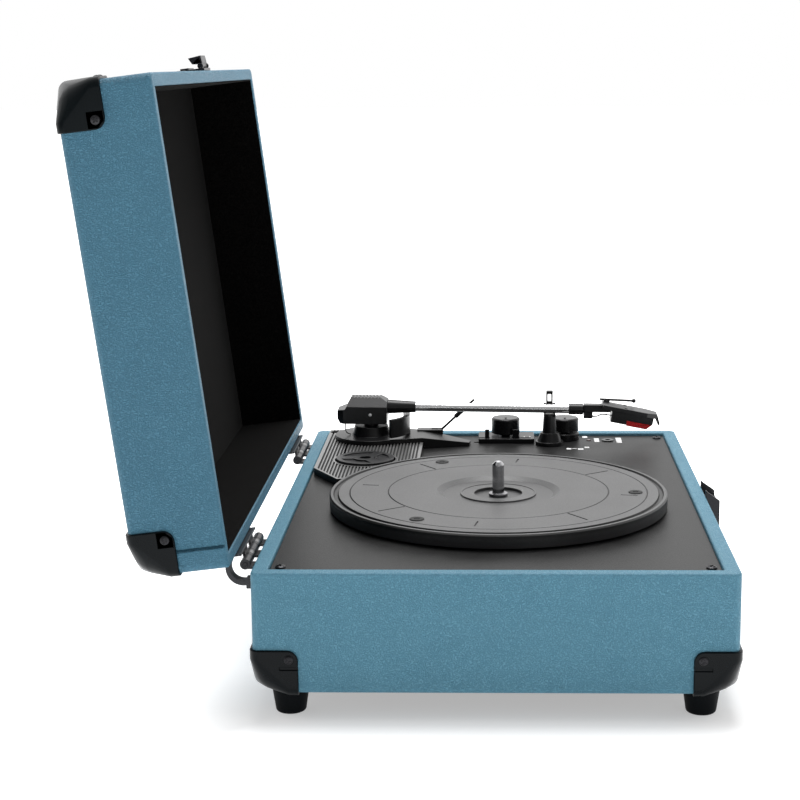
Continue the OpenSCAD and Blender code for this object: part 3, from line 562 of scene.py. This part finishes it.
# ---- Ribbed panel ----
# A moulded black panel fills the deck's corner behind the platter, with a well for the adapter.
# Fine ribs run along its top, and a plain border follows its outline, the well and the platter's edge.
panel_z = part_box("ribbed_panel")[1].z
platter_low, platter_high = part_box("platter")
spin_at = (platter_low + platter_high) / 2
well_at = (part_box("adapter_45")[0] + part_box("adapter_45")[1]) / 2
rib_pitch = 2.2 * MM
rib_gap = 1.15 * MM
rib_depth = 0.9 * MM
platter_clear_r = 105.8 * MM              # the plain borders reach out to these
well_clear_r = 21.4 * MM
below, above = 70 * MM, 100 * MM          # heights past the panel, for tools that go through it


def round_tool(middle, radius, low, high, sides=96):
    """A round post to cut with."""
    shape = bmesh.new()
    place = Matrix.Translation((middle.x, middle.y, (low + high) / 2))
    bmesh.ops.create_cone(shape, cap_ends=True, segments=sides, radius1=radius, radius2=radius,
                          depth=high - low, matrix=place)
    return as_mesh(shape, "post")


def prism(corners, low, high):
    """A flat outline, listed anticlockwise, drawn up from low to high."""
    shape = bmesh.new()
    floor = shape.faces.new([shape.verts.new((x, y, low)) for x, y in corners])
    raised = bmesh.ops.extrude_face_region(shape, geom=[floor])["geom"]
    points = [part for part in raised if isinstance(part, bmesh.types.BMVert)]
    bmesh.ops.translate(shape, vec=(0, 0, high - low), verts=points)
    bmesh.ops.recalc_face_normals(shape, faces=shape.faces)
    return as_mesh(shape, "prism")


def groove_nodes():
    """Nodes for a row of equal bars along Y, each a box of the size given."""
    tree, entry, place = copying_nodes("rib_grooves", ribbed_plastic, ("Count", "Int"), ("Start", "Vector"),
                                       ("Step", "Vector"), ("Bar", "Vector"))
    row, bar = tree.nodes.new("GeometryNodeMeshLine"), tree.nodes.new("GeometryNodeMeshCube")
    link = tree.links.new
    link(entry.outputs["Count"], row.inputs["Count"])
    link(entry.outputs["Start"], row.inputs["Start Location"])
    link(entry.outputs["Step"], row.inputs["Offset"])
    link(entry.outputs["Bar"], bar.inputs["Size"])
    link(row.outputs["Mesh"], place.inputs["Points"])
    link(bar.outputs["Mesh"], place.inputs["Instance"])
    return tree


def ribbed_paint():
    """Painted light makes the ribs' tops a light satin grey, and painted shade makes the grooves black, on
    one black plastic.
    """
    paint, surface, place = new_material("ribbed_plastic")
    speckle = place.noise(1600, 2.0)
    height = place.node("SeparateXYZ", {}, {"Vector": place}, out=2)
    height = height.ramp(panel_z - 0.4 * MM, panel_z - 0.1 * MM)
    # The height mask paints light on the ribs' tops and shade, near black, in the grooves.
    tone = height * (0.55 + speckle * 0.45)
    connect(surface, Base_Color=tone.tint((0.001, 0.001, 0.001), (0.13, 0.13, 0.13)),
            Roughness=0.7 - height * 0.42, Normal=speckle.bump(0.02 * MM, 0.6))
    return paint


ribbed_plastic = ribbed_paint()
bars = new_piece("rib_bars", bpy.data.meshes.new("rib_bars"), ribbed_plastic)
run_nodes(bars, groove_nodes(), Count=31, Start=(100 * MM, 50.6 * MM, panel_z), Step=(0, rib_pitch, 0),
          Bar=(180 * MM, rib_gap, 2 * rib_depth))
inside = new_piece("rib_field", prism([(32 * MM, 51.5 * MM), (166 * MM, 51.5 * MM), (166 * MM, 116 * MM),
                                       (50.6 * MM, 116 * MM), (22 * MM, 99.6 * MM)],
                                      panel_z - 2 * rib_depth, panel_z + 2 * rib_depth), ribbed_plastic)
cut(inside, round_tool(spin_at, platter_clear_r, below, above, 192))
cut(inside, round_tool(well_at, well_clear_r, below, above))
shared = inside.modifiers.new("shared", "BOOLEAN")
shared.operation, shared.solver, shared.object = "INTERSECT", "EXACT", bars
field = settle(inside)
bpy.data.objects.remove(inside)
bpy.data.objects.remove(bars)
finish_node("ribbed_panel", ribbed_plastic, 0.12 * MM, tools=[field])

# ---- Platter ----
# A moulded turntable platter: a matt top with two ring grooves, ticks and a stepped hub, and a satin side.
# Three rubber pads sit in its top. Its hub turns on the spindle's steel shaft.


def platter_plastic():
    """Matt on top, with painted shade turning the grooves outside the hub black, and satin on the side."""
    paint, surface, place = new_material("platter_plastic")
    grain = place.noise(1500, 2.0)
    drift = place.noise(18, 3.0)
    top = place.node("SeparateXYZ", {}, {"Vector": place}, out=2).ramp(platter_high.z - 3.5 * MM,
                                                                      platter_high.z - 1.5 * MM)
    tone = (grain * 0.5 + drift * 0.5).ramp(0.3, 0.7)
    centred = place.node("VectorMath", {"operation": "SUBTRACT"}, {0: place, 1: (spin_at.x, spin_at.y, 0)})
    across = centred.node("VectorMath", {"operation": "MULTIPLY"}, {0: centred, 1: (1, 1, 0)})
    inner = 1 - across.node("VectorMath", {"operation": "LENGTH"}, {0: across}, out=1).ramp(40 * MM, 42 * MM)
    flush = place.node("SeparateXYZ", {}, {"Vector": place}, out=2).ramp(platter_high.z - 0.22 * MM,
                                                                        platter_high.z - 0.04 * MM)
    # Below the top face, outside the hub, the colour goes black: painted shade in the grooves.
    clear_of_painted_groove_shade = inner.math("MAXIMUM", inner, flush)
    matt = (clear_of_painted_groove_shade * (0.5 + tone * 0.5)).tint((0.001, 0.001, 0.001), (0.085, 0.085, 0.086))
    satin = tone.tint((0.012, 0.012, 0.013), (0.02, 0.02, 0.021))
    blend = top.node("Mix", {"data_type": "RGBA"}, {0: top, 6: satin, 7: matt}, out=2)
    connect(surface, Base_Color=blend, Roughness=0.36 + top * 0.08 + drift * 0.06,
            Normal=grain.bump(0.05 * MM, 0.6))
    return paint


platter_paint = platter_plastic()
finish_node("platter", platter_paint, 0.1 * MM, sharp=28)
pad_rubber = plain_finish("pad_rubber", (0.008, 0.008, 0.008), (0.02, 0.02, 0.02), 0.6, 0.5 * MM, 0.04 * MM)
finish_node("platter_pads", pad_rubber, 0.3 * MM, steps=3)

# ---- Spindle, bearing and drive ----
# A turned steel spindle stands in its bearing, with a spring clip on its shoulder.
# A motor under the deck turns it through a brass pulley and a flat rubber belt inside the platter.


def turned_metal(name, low, high, roughness):
    """Bright metal with fine lathe marks round its own upright axis."""
    paint, surface, place = new_material(name, Metallic=1.0)
    rings = place.stretched((60, 60, 5000)).noise(1.0, 3.0)
    drift = place.noise(90, 3.0)
    connect(surface, Base_Color=(rings * 0.5 + drift * 0.5).ramp(0.3, 0.7).tint(low, high),
            Roughness=roughness + drift * 0.08, Normal=rings.bump(0.01 * MM, 0.5))
    return paint


pin_steel = turned_metal("pin_steel", (0.3, 0.3, 0.31), (0.46, 0.46, 0.47), 0.1)
finish_node("spindle", pin_steel, 0.3 * MM, steps=4)
finish_node("spindle_clip", turned_metal("clip_steel", (0.2, 0.2, 0.21), (0.34, 0.34, 0.35), 0.3), 0.15 * MM)
bearing_steel = turned_metal("bearing_steel", (0.35, 0.35, 0.36), (0.5, 0.5, 0.51), 0.3)
brass = turned_metal("brass", (0.55, 0.38, 0.13), (0.76, 0.56, 0.24), 0.2)
motor_can = turned_metal("motor_can", (0.38, 0.38, 0.38), (0.52, 0.52, 0.52), 0.32)
belt_rubber = plain_finish("belt_rubber", (0.01, 0.01, 0.01), (0.022, 0.022, 0.022), 0.6, 0.5 * MM, 0.03 * MM)
board = plain_finish("board", (0.01, 0.05, 0.022), (0.025, 0.09, 0.04), 0.45, 1.2 * MM, 0.04 * MM)
finish_node("platter_bearing", bearing_steel, 0.2 * MM)
finish_node("motor_pulley", brass, 0.2 * MM)
finish_node("motor", motor_can, 0.4 * MM)
finish_node("drive_belt", belt_rubber, 0.15 * MM)
finish_node("control_board", board, 0.2 * MM)

# ---- Adapter ----
# A loose 45 adapter lies in the ribbed panel's well: a black disc with three open segments round its hole.
# It lifts straight out.
adapter_plastic = plain_finish("adapter_plastic", (0.01, 0.01, 0.011), (0.02, 0.02, 0.021), 0.32, 0.5 * MM,
                               0.02 * MM)
finish_node("adapter_45", adapter_plastic, 0.3 * MM, steps=3)

# ---- Speakers and grilles ----
# Two small paper-cone speakers are screwed behind the front wall, under slotted moulded grilles.
# The cones are black felted paper, half hidden by the slots.
speaker_paper = plain_finish("speaker_paper", (0.012, 0.012, 0.012), (0.03, 0.03, 0.03), 0.8, 0.8 * MM,
                             0.12 * MM)
for side in ("speaker_left", "speaker_right"):
    finish_node(side, speaker_paper, 0.3 * MM)
finish_node("speaker_grilles", guard_plastic, 0.35 * MM)

# A black card mask behind each grille hides the case's wrapping, and leaves a round window for the cone.
mask_w, mask_h, mask_t = 41 * MM, 21 * MM, 0.5 * MM
speaker_at = (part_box("speaker_left")[0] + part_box("speaker_left")[1]) / 2
for name, side in (("mask_left", -1), ("mask_right", 1)):
    x = side * abs(speaker_at.x)
    mask = new_piece(name, box_mesh((x - mask_w, -half_d - mask_t, speaker_at.z - mask_h),
                                    (x + mask_w, -half_d - 0.02 * MM, speaker_at.z + mask_h)), speaker_paper)
    window = round_tool(Vector((0, 0, 0)), 22 * MM, -1 * MM, 1 * MM)
    upended = Matrix.Rotation(math.radians(90), 4, "X")
    window.transform(Matrix.Translation((x, -half_d, speaker_at.z)) @ upended)
    cut(mask, window)
    round_edges(mask, 0.1 * MM)
    hand_over(mask, "base", slots["speaker_left"])

# ---- Handle ----
# A moulded bail handle wrapped in black grained vinyl hangs from two riveted brackets on the front wall.
# Its ends turn on pins, so it drops flat against the case.
handle_vinyl = plain_finish("handle_vinyl", (0.012, 0.012, 0.013), (0.028, 0.028, 0.03), 0.5, 1.0 * MM,
                            0.14 * MM)
hinge_metal = plain_finish("hinge_metal", (0.014, 0.014, 0.016), (0.04, 0.04, 0.043), 0.34, 0.4 * MM,
                           0.02 * MM, Metallic=0.7)
finish_node("handle_brackets", hinge_metal, 0.4 * MM)
finish_node("handle", handle_vinyl, 0.7 * MM, steps=3)

# ---- Jack plate ----
# A moulded plate on the back wall carries two line-out sockets and the power inlet.
# Each line-out socket has a coloured insulator ring round its contact, one white and one red.
case_plastic = plain_finish("case_plastic", (0.003, 0.003, 0.0035), (0.009, 0.009, 0.0095), 0.32, 0.5 * MM,
                            0.025 * MM)
finish_node("jack_plate", case_plastic, 0.3 * MM)
jack_low, jack_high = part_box("jack_plate")
jack_middle = (jack_low + jack_high) / 2


def lathe(outline, sides=32):
    """A solid turned round Z from (radius, height) points."""
    shape = bmesh.new()
    points = [shape.verts.new((r, 0, z)) for r, z in outline]
    for a, b in zip(points, points[1:]):
        shape.edges.new((a, b))
    if outline[0][0] > 0 and outline[-1][0] > 0:
        shape.edges.new((points[-1], points[0]))
    bmesh.ops.spin(shape, geom=shape.verts[:] + shape.edges[:], cent=(0, 0, 0), axis=(0, 0, 1),
                   angle=math.tau, steps=sides)
    bmesh.ops.remove_doubles(shape, verts=shape.verts, dist=0.002 * MM)
    bmesh.ops.recalc_face_normals(shape, faces=shape.faces)
    return as_mesh(shape, "turned")


def placed(mesh, place):
    mesh.transform(place)
    return mesh


def ring(inner, outer, low, high, edge=0.15 * MM, sides=32):
    """A turned ring with eased edges."""
    return lathe([(inner, low), (outer, low), (outer, high - edge), (outer - edge, high),
                  (inner + edge, high), (inner, high - edge)], sides)


def gloss_plastic(name, low, high):
    return plain_finish(name, low, high, 0.3, 0.5 * MM, 0.01 * MM)


towards_back = Matrix.Rotation(math.radians(-90), 4, "X")
for name, x, tones in (("line_out_white", -16 * MM, ((0.62, 0.62, 0.6), (0.74, 0.74, 0.72))),
                       ("line_out_red", 0.0, ((0.45, 0.012, 0.015), (0.6, 0.02, 0.025)))):
    place = Matrix.Translation((jack_middle.x + x, jack_high.y - 0.5 * MM, jack_middle.z)) @ towards_back
    insert = new_piece(name, placed(ring(1.7 * MM, 3.5 * MM, -0.4 * MM, 0.45 * MM), place),
                       gloss_plastic(name, *tones))
    smooth(insert.data)
    hand_over(insert, "base", slots["jack_plate"])

# ---- Console and controls ----
# A raised console holds the speed lever and the stop lever in their slots, and the volume knob.
# A second knob stands on its own collar. Beside them are the headphone socket and a small red power lamp.
knob_plastic = plain_finish("knob_plastic", (0.003, 0.003, 0.0035), (0.009, 0.009, 0.0095), 0.25, 0.5 * MM,
                            0.015 * MM)
finish_node("console", case_plastic, 0.35 * MM)
for control in ("speed_switch", "stop_switch"):
    finish_node(control, knob_plastic, 0.3 * MM)
for knob in ("volume_knob", "tone_knob"):
    finish_node(knob, knob_plastic, 0.4 * MM, steps=3)
finish_node("knob_collars", knob_plastic, 0.3 * MM)
jack_metal = turned_metal("jack_metal", (0.05, 0.05, 0.05), (0.1, 0.1, 0.1), 0.3)
finish_node("headphone_jack", jack_metal, 0.2 * MM)
lamp_lens, lens_surface, lens_place = new_material("lamp_lens", Roughness=0.15)
connect(lens_surface, Base_Color=lens_place.noise(400).tint((0.03, 0.002, 0.002), (0.06, 0.003, 0.003)))
finish_node("power_lamp", lamp_lens, 0.4 * MM, steps=3)

# ---- Deck marks ----
# Small white marks are screen printed on the deck and the console to show what each control does.
# They are plain dashes and blocks.
white_print = plain_finish("white_print", (0.68, 0.68, 0.68), (0.82, 0.82, 0.82), 0.6, 0.3 * MM, 0.01 * MM)
print_t = 0.06 * MM
console_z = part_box("console")[1].z


def printed(marks):
    """Printed blocks, each given by its middle, its size and the height of the face it is on."""
    return joined([box_mesh((x - w / 2, y - d / 2, z - print_t), (x + w / 2, y + d / 2, z + print_t))
                   for x, y, w, d, z in marks])


dash_gap = 0.5 * MM
marks = [(150.5 * MM, (-24 + 4 * i) * MM, 2.2 * MM, 0.5 * MM, console_z) for i in range(4)]
mark_rows = [(164, -63.1, 5, 3.4, 1), (153.9, -70.9, 12, 3.4, 3), (153.2, -86.4, 17, 3.8, 4),
             (126.1, -50.4, 4, 3.2, 1), (126.8, -54.3, 1.2, 3, 1), (125.4, -58.4, 4, 3.8, 1),
             (130.6, -62.9, 4, 3.2, 1)]
for x, y, length, width, dashes in mark_rows:
    step = length / dashes * MM
    dash = step - (dash_gap if dashes > 1 else 0)
    for i in range(dashes):
        marks.append((x * MM + (i - (dashes - 1) / 2) * step, y * MM, dash, width * MM, deck_z))
deck_marks = new_piece("deck_marks", printed(marks), white_print)
hand_over(deck_marks, "base", slots["deck_panel"])

# ---- Tonearm base and yoke ----
# A moulded plate with a round pedestal and a pointed tail is fixed over the ribbed panel.
# A yoke turns in the pedestal, and carries the arm on a pin whose bright ends show in the housing's sides.
finish_node("arm_base", case_plastic, 0.3 * MM, steps=3)
finish_node("arm_yoke", case_plastic, 0.25 * MM)
pivot_at = Vector(joints["arm_swing"]["pos_m"])
lift_at = Vector(joints["arm_lift"]["pos_m"])
housing_half = 11 * MM
for name, side in (("lift_pin_outer", -1), ("lift_pin_inner", 1)):
    place = Matrix.Translation((pivot_at.x + side * (housing_half - 0.5 * MM), lift_at.y, lift_at.z)) @ \
        Matrix.Rotation(math.radians(90 * side), 4, "Y")
    pin = lathe([(0, -0.6 * MM), (1.15 * MM, -0.6 * MM), (1.15 * MM, 0.2 * MM), (0.7 * MM, 0.55 * MM),
                 (0, 0.65 * MM)])
    pin_end = new_piece(name, placed(pin, place), white_print)
    smooth(pin_end.data)
    hand_over(pin_end, "arm_yoke", slots["arm_yoke"])

# A spring wire drops from the housing's tail to the yoke's foot, and keeps the swing light.


def wire(points, radius, sides=8):
    """A round wire along a smooth path through points, with closed ends."""
    path = bpy.data.curves.new("wire", "CURVE")
    path.dimensions = "3D"
    line = path.splines.new("NURBS")
    line.points.add(len(points) - 1)
    for spot, point in zip(line.points, points):
        spot.co = (*point, 1)
    line.use_endpoint_u = True
    line.order_u = 3
    path.resolution_u = 6
    path.bevel_depth = radius
    path.bevel_resolution = max(1, sides // 4 - 1)
    path.use_fill_caps = True
    drawn = bpy.data.objects.new("wire", path)
    scene.collection.objects.link(drawn)
    bpy.context.view_layer.update()
    mesh = bpy.data.meshes.new_from_object(drawn.evaluated_get(bpy.context.evaluated_depsgraph_get()))
    bpy.data.objects.remove(drawn)
    shape = bmesh.new()
    shape.from_mesh(mesh)
    bmesh.ops.remove_doubles(shape, verts=shape.verts, dist=0.002 * MM)
    bmesh.ops.recalc_face_normals(shape, faces=shape.faces)
    shape.to_mesh(mesh)
    shape.free()
    smooth(mesh, 50)
    return mesh


tail_at = lift_at + Vector((-5 * MM, 17.5 * MM, -5.5 * MM))
tail_path = [tail_at, tail_at + Vector((0, 0.2 * MM, -5 * MM)),
             tail_at + Vector((0.4 * MM, -0.4 * MM, -8.6 * MM)),
             tail_at + Vector((1 * MM, -3.5 * MM, -9.4 * MM))]
tail_wire = new_piece("tail_wire", wire(tail_path, 0.4 * MM), hinge_metal)
hand_over(tail_wire, "arm_yoke", slots["arm_yoke"])

# ---- Arm and headshell ----
# A moulded housing with a ribbed finger rest pivots on the lift pin. A chromed tube runs from it to the
# headshell. The cartridge clips under the shell, and its red stylus assembly slides out forwards.
arm_plastic = plain_finish("arm_plastic", (0.004, 0.004, 0.0045), (0.012, 0.012, 0.0125), 0.32, 0.5 * MM,
                           0.03 * MM, shine=0.35)
finish_node("arm_housing", arm_plastic, 0.25 * MM)
arm_chrome, chrome_surface, chrome_place = new_material("arm_chrome", Metallic=1.0)
chrome_drift = chrome_place.noise(120, 3.0)
connect(chrome_surface, Base_Color=chrome_drift.ramp(0.3, 0.7).tint((0.84, 0.85, 0.86), (0.93, 0.93, 0.94)),
        Roughness=0.17 + chrome_drift * 0.06)
finish_node("arm_tube", arm_chrome, 0.12 * MM)
finish_node("headshell", arm_plastic, 0.25 * MM)
finish_node("cartridge", arm_plastic, 0.3 * MM)
finish_node("finger_lift", arm_plastic, 0.1 * MM)
stylus_red, red_surface, red_place = new_material("stylus_red", Roughness=0.28)
red_tone = red_place.noise(300).ramp(0.3, 0.7)
connect(red_surface, Base_Color=red_tone.tint((0.42, 0.004, 0.006), (0.62, 0.01, 0.012)))
finish_node("stylus", stylus_red, 0.25 * MM)

# Four thin insulated leads leave the arm's neck and curve down into the back of the cartridge.
arm_slope = math.radians(0.85)
shell_angle = math.radians(10.2)
on_arm = Matrix.Translation(lift_at) @ Matrix.Rotation(arm_slope, 4, "X")
on_shell = on_arm @ Matrix.Translation((0, -164.5 * MM, 8.1 * MM)) @ Matrix.Rotation(shell_angle, 4, "X")
lead_tones = {"lead_white": ((0.2, 0.2, 0.2), (0.3, 0.3, 0.3)),
              "lead_red": ((0.09, 0.006, 0.006), (0.14, 0.01, 0.01)),
              "lead_green": ((0.004, 0.03, 0.01), (0.008, 0.05, 0.016)),
              "lead_blue": ((0.004, 0.01, 0.04), (0.008, 0.016, 0.06))}
for row, (name, tones) in enumerate(lead_tones.items()):
    side = (row - 1.5) * 1.7 * MM
    path = [on_arm @ Vector((side * 0.8, -152.8 * MM, -0.6 * MM)),
            on_arm @ Vector((side * 0.9, -156 * MM, (-0.9 - 0.3 * row) * MM)),
            on_arm @ Vector((side, -160 * MM, (1.4 - 0.2 * row) * MM)),
            on_arm @ Vector((side, -163.4 * MM, (0.4 - 0.2 * row) * MM)),
            on_shell @ Vector((side * 1.2, 0.2 * MM, (-6.4 - 0.3 * row) * MM)),
            on_shell @ Vector((side * 1.2, -3.4 * MM, (-7.4 - 0.3 * row) * MM))]
    lead = new_piece(name, wire(path, 0.3 * MM), gloss_plastic(name, *tones))
    hand_over(lead, "tonearm", slots["headshell"])

# ---- Arm rest and cue lever ----
# A moulded post on a stepped foot cradles the tube, and a hinged clip swings over it.
# Beside the pedestal, a lever raises the curved cue platform under the arm.
for rest_part in ("rest_post", "cue_box", "cue_platform"):
    finish_node(rest_part, case_plastic, 0.25 * MM)
finish_node("rest_clip", case_plastic, 0.15 * MM)
finish_node("cue_lever", case_plastic, 0.15 * MM)

# ---- Lid case ----
# The lid is a second wrapped box, half as deep. Its leatherette laps over a seam beside the hinge wall,
# and it stands open past upright on its hinges.
hinge_at = Vector(joints["lid_hinge"]["pos_m"])
lid_open = math.radians(97)
lid_rim = 81.4 * MM                       # heights with the lid shut
lid_top = 131.4 * MM
opened = Matrix.Translation(hinge_at) @ Matrix.Rotation(-lid_open, 4, "X") @ Matrix.Translation(-hinge_at)
seam_in = 12 * MM
seam_w = 0.5 * MM
seam_depth = 0.3 * MM
seams = joined([box_mesh((side * (half_w - seam_depth), half_d - seam_in - seam_w, lid_rim - 1 * MM),
                         (side * (half_w + 2 * MM), half_d - seam_in, lid_top - guard_reach), opened)
                for side in (-1, 1)])
# The lid's copy of the same leatherette is a darker teal: painted shade, for the dimmer light on the lid.
lid_leatherette_shaded = teal_leatherette("lid_leatherette_shaded", (800, 560, 1100), (0.034, 0.12, 0.185),
                                   (0.06, 0.182, 0.262), 0.42 * MM)
finish_node("lid_case", lid_leatherette_shaded, 1.1 * MM, steps=3, sharp=40, tools=[seams])

# ---- Lid lining ----
# The inside of the lid is lined with black flock, glued to thin board that folds into the corners.
# Flock is almost black from every side, with a faint speckle and a soft sheen.
flock, flock_surface, flock_place = new_material("flock", Sheen_Weight=0.03, Sheen_Roughness=0.4,
                                                 Roughness=1.0)
flock_surface.inputs["Specular IOR Level"].default_value = 0.02
fibres = flock_place.noise(1700, 3.0)
flock_tone = fibres.ramp(0.35, 0.75)
connect(flock_surface, Base_Color=flock_tone.tint((0.0008, 0.0008, 0.0009), (0.008, 0.0075, 0.007)),
        Normal=fibres.bump(0.4 * MM, 0.8))
finish_node("lid_lining", flock, 0.3 * MM)

# ---- Corner guards of the lid ----
# The same caps as on the base, upside down, with a square recess round each screw.
# The recess stiffens the thin corner that the screw pulls on.


def guard_recesses():
    """Square recesses round the screws of the four lid guards, with the lid open."""
    made = []
    reach = 3.9 * MM
    depth = 0.25 * MM
    clear = 3 * MM                        # how far the cutting boxes stand out of the guards
    at = guard_reach - screw_in
    low_z, high_z = lid_top - at - reach, lid_top - at + reach
    for sx, sy in corners:
        x, y = sx * (half_w - at), sy * (half_d - at)
        side, end = half_w + guard_t, half_d + guard_t
        made.append(box_mesh((sx * (side - depth), y - reach, low_z),
                             (sx * (side + clear), y + reach, high_z), opened))
        made.append(box_mesh((x - reach, sy * (end - depth), low_z),
                             (x + reach, sy * (end + clear), high_z), opened))
    return joined(made)


finish_node("lid_corners", guard_plastic, 0.3 * MM, sharp=40, tools=[guard_recesses()])
set_screws("lid_guard_screws", guard_screw_points(lid_top, -1, opened), "lid", slots["lid_corner_screws"],
           guard_head, "lid_corner_screws")

# ---- Hinges ----
# Two black plated butt hinges join the back wall to the lid, each with its knuckles on a pin.
# A curved strap at each outer end stops the lid. Three screws hold each leaf.
for hinge_part in ("hinge_base_leaves", "hinge_lid_leaves", "hinge_pins"):
    finish_node(hinge_part, hinge_metal, 0.2 * MM)
leaf_face = hinge_at.y - 6.1 * MM + 1.2 * MM
leaf_screw_z = 15 * MM
hinge_x = 123 * MM
leaf_head = screw_head(1.75 * MM, 0.5 * MM)
leaf_spots = [side * hinge_x + step for side in (-1, 1) for step in (-18 * MM, 0, 18 * MM)]
leaf_back = leaf_face - 0.15 * MM
backwards = Vector((0, 1, 0))
set_screws("base_leaf_screws",
           [(Vector((x, leaf_back, hinge_at.z - leaf_screw_z)), backwards) for x in leaf_spots],
           "base", slots["hinge_base_leaves"], leaf_head)
set_screws("lid_leaf_screws",
           [(opened @ Vector((x, leaf_back, hinge_at.z + leaf_screw_z)), opened.to_3x3() @ backwards)
            for x in leaf_spots], "lid", slots["hinge_lid_leaves"], leaf_head)

# Dark nickel sleeves cover the lid's knuckles.
knuckle_len = 11 * MM
knuckle_r = 2.9 * MM
nickel = turned_metal("nickel", (0.1, 0.1, 0.1), (0.18, 0.18, 0.18), 0.24)
sleeves = []
for side in (-1, 1):
    for step in (-1, 1):
        place = Matrix.Translation((side * hinge_x + step * knuckle_len, hinge_at.y, hinge_at.z)) @ \
            Matrix.Rotation(math.radians(90), 4, "Y")
        sleeves.append(placed(ring(knuckle_r - 0.3 * MM, knuckle_r + 0.08 * MM, -2.2 * MM, 2.2 * MM), place))
sleeve = new_piece("hinge_sleeves", joined(sleeves), nickel)
smooth(sleeve.data)
hand_over(sleeve, "lid", slots["hinge_pins"])

# ---- Latch ----
# A pressed steel catch with a bright push button is screwed to the front of the base.
# The lid's plate carries a hasp that drops over it.
finish_node("latch_catch", hinge_metal, 0.35 * MM)
finish_node("latch_button", pin_steel, 0.3 * MM, steps=3)
finish_node("hasp_plate", hinge_metal, 0.2 * MM)
finish_node("hasp", hinge_metal, 0.2 * MM)
for pattern in (guard_head, deck_head, leaf_head):
    bpy.data.objects.remove(pattern)
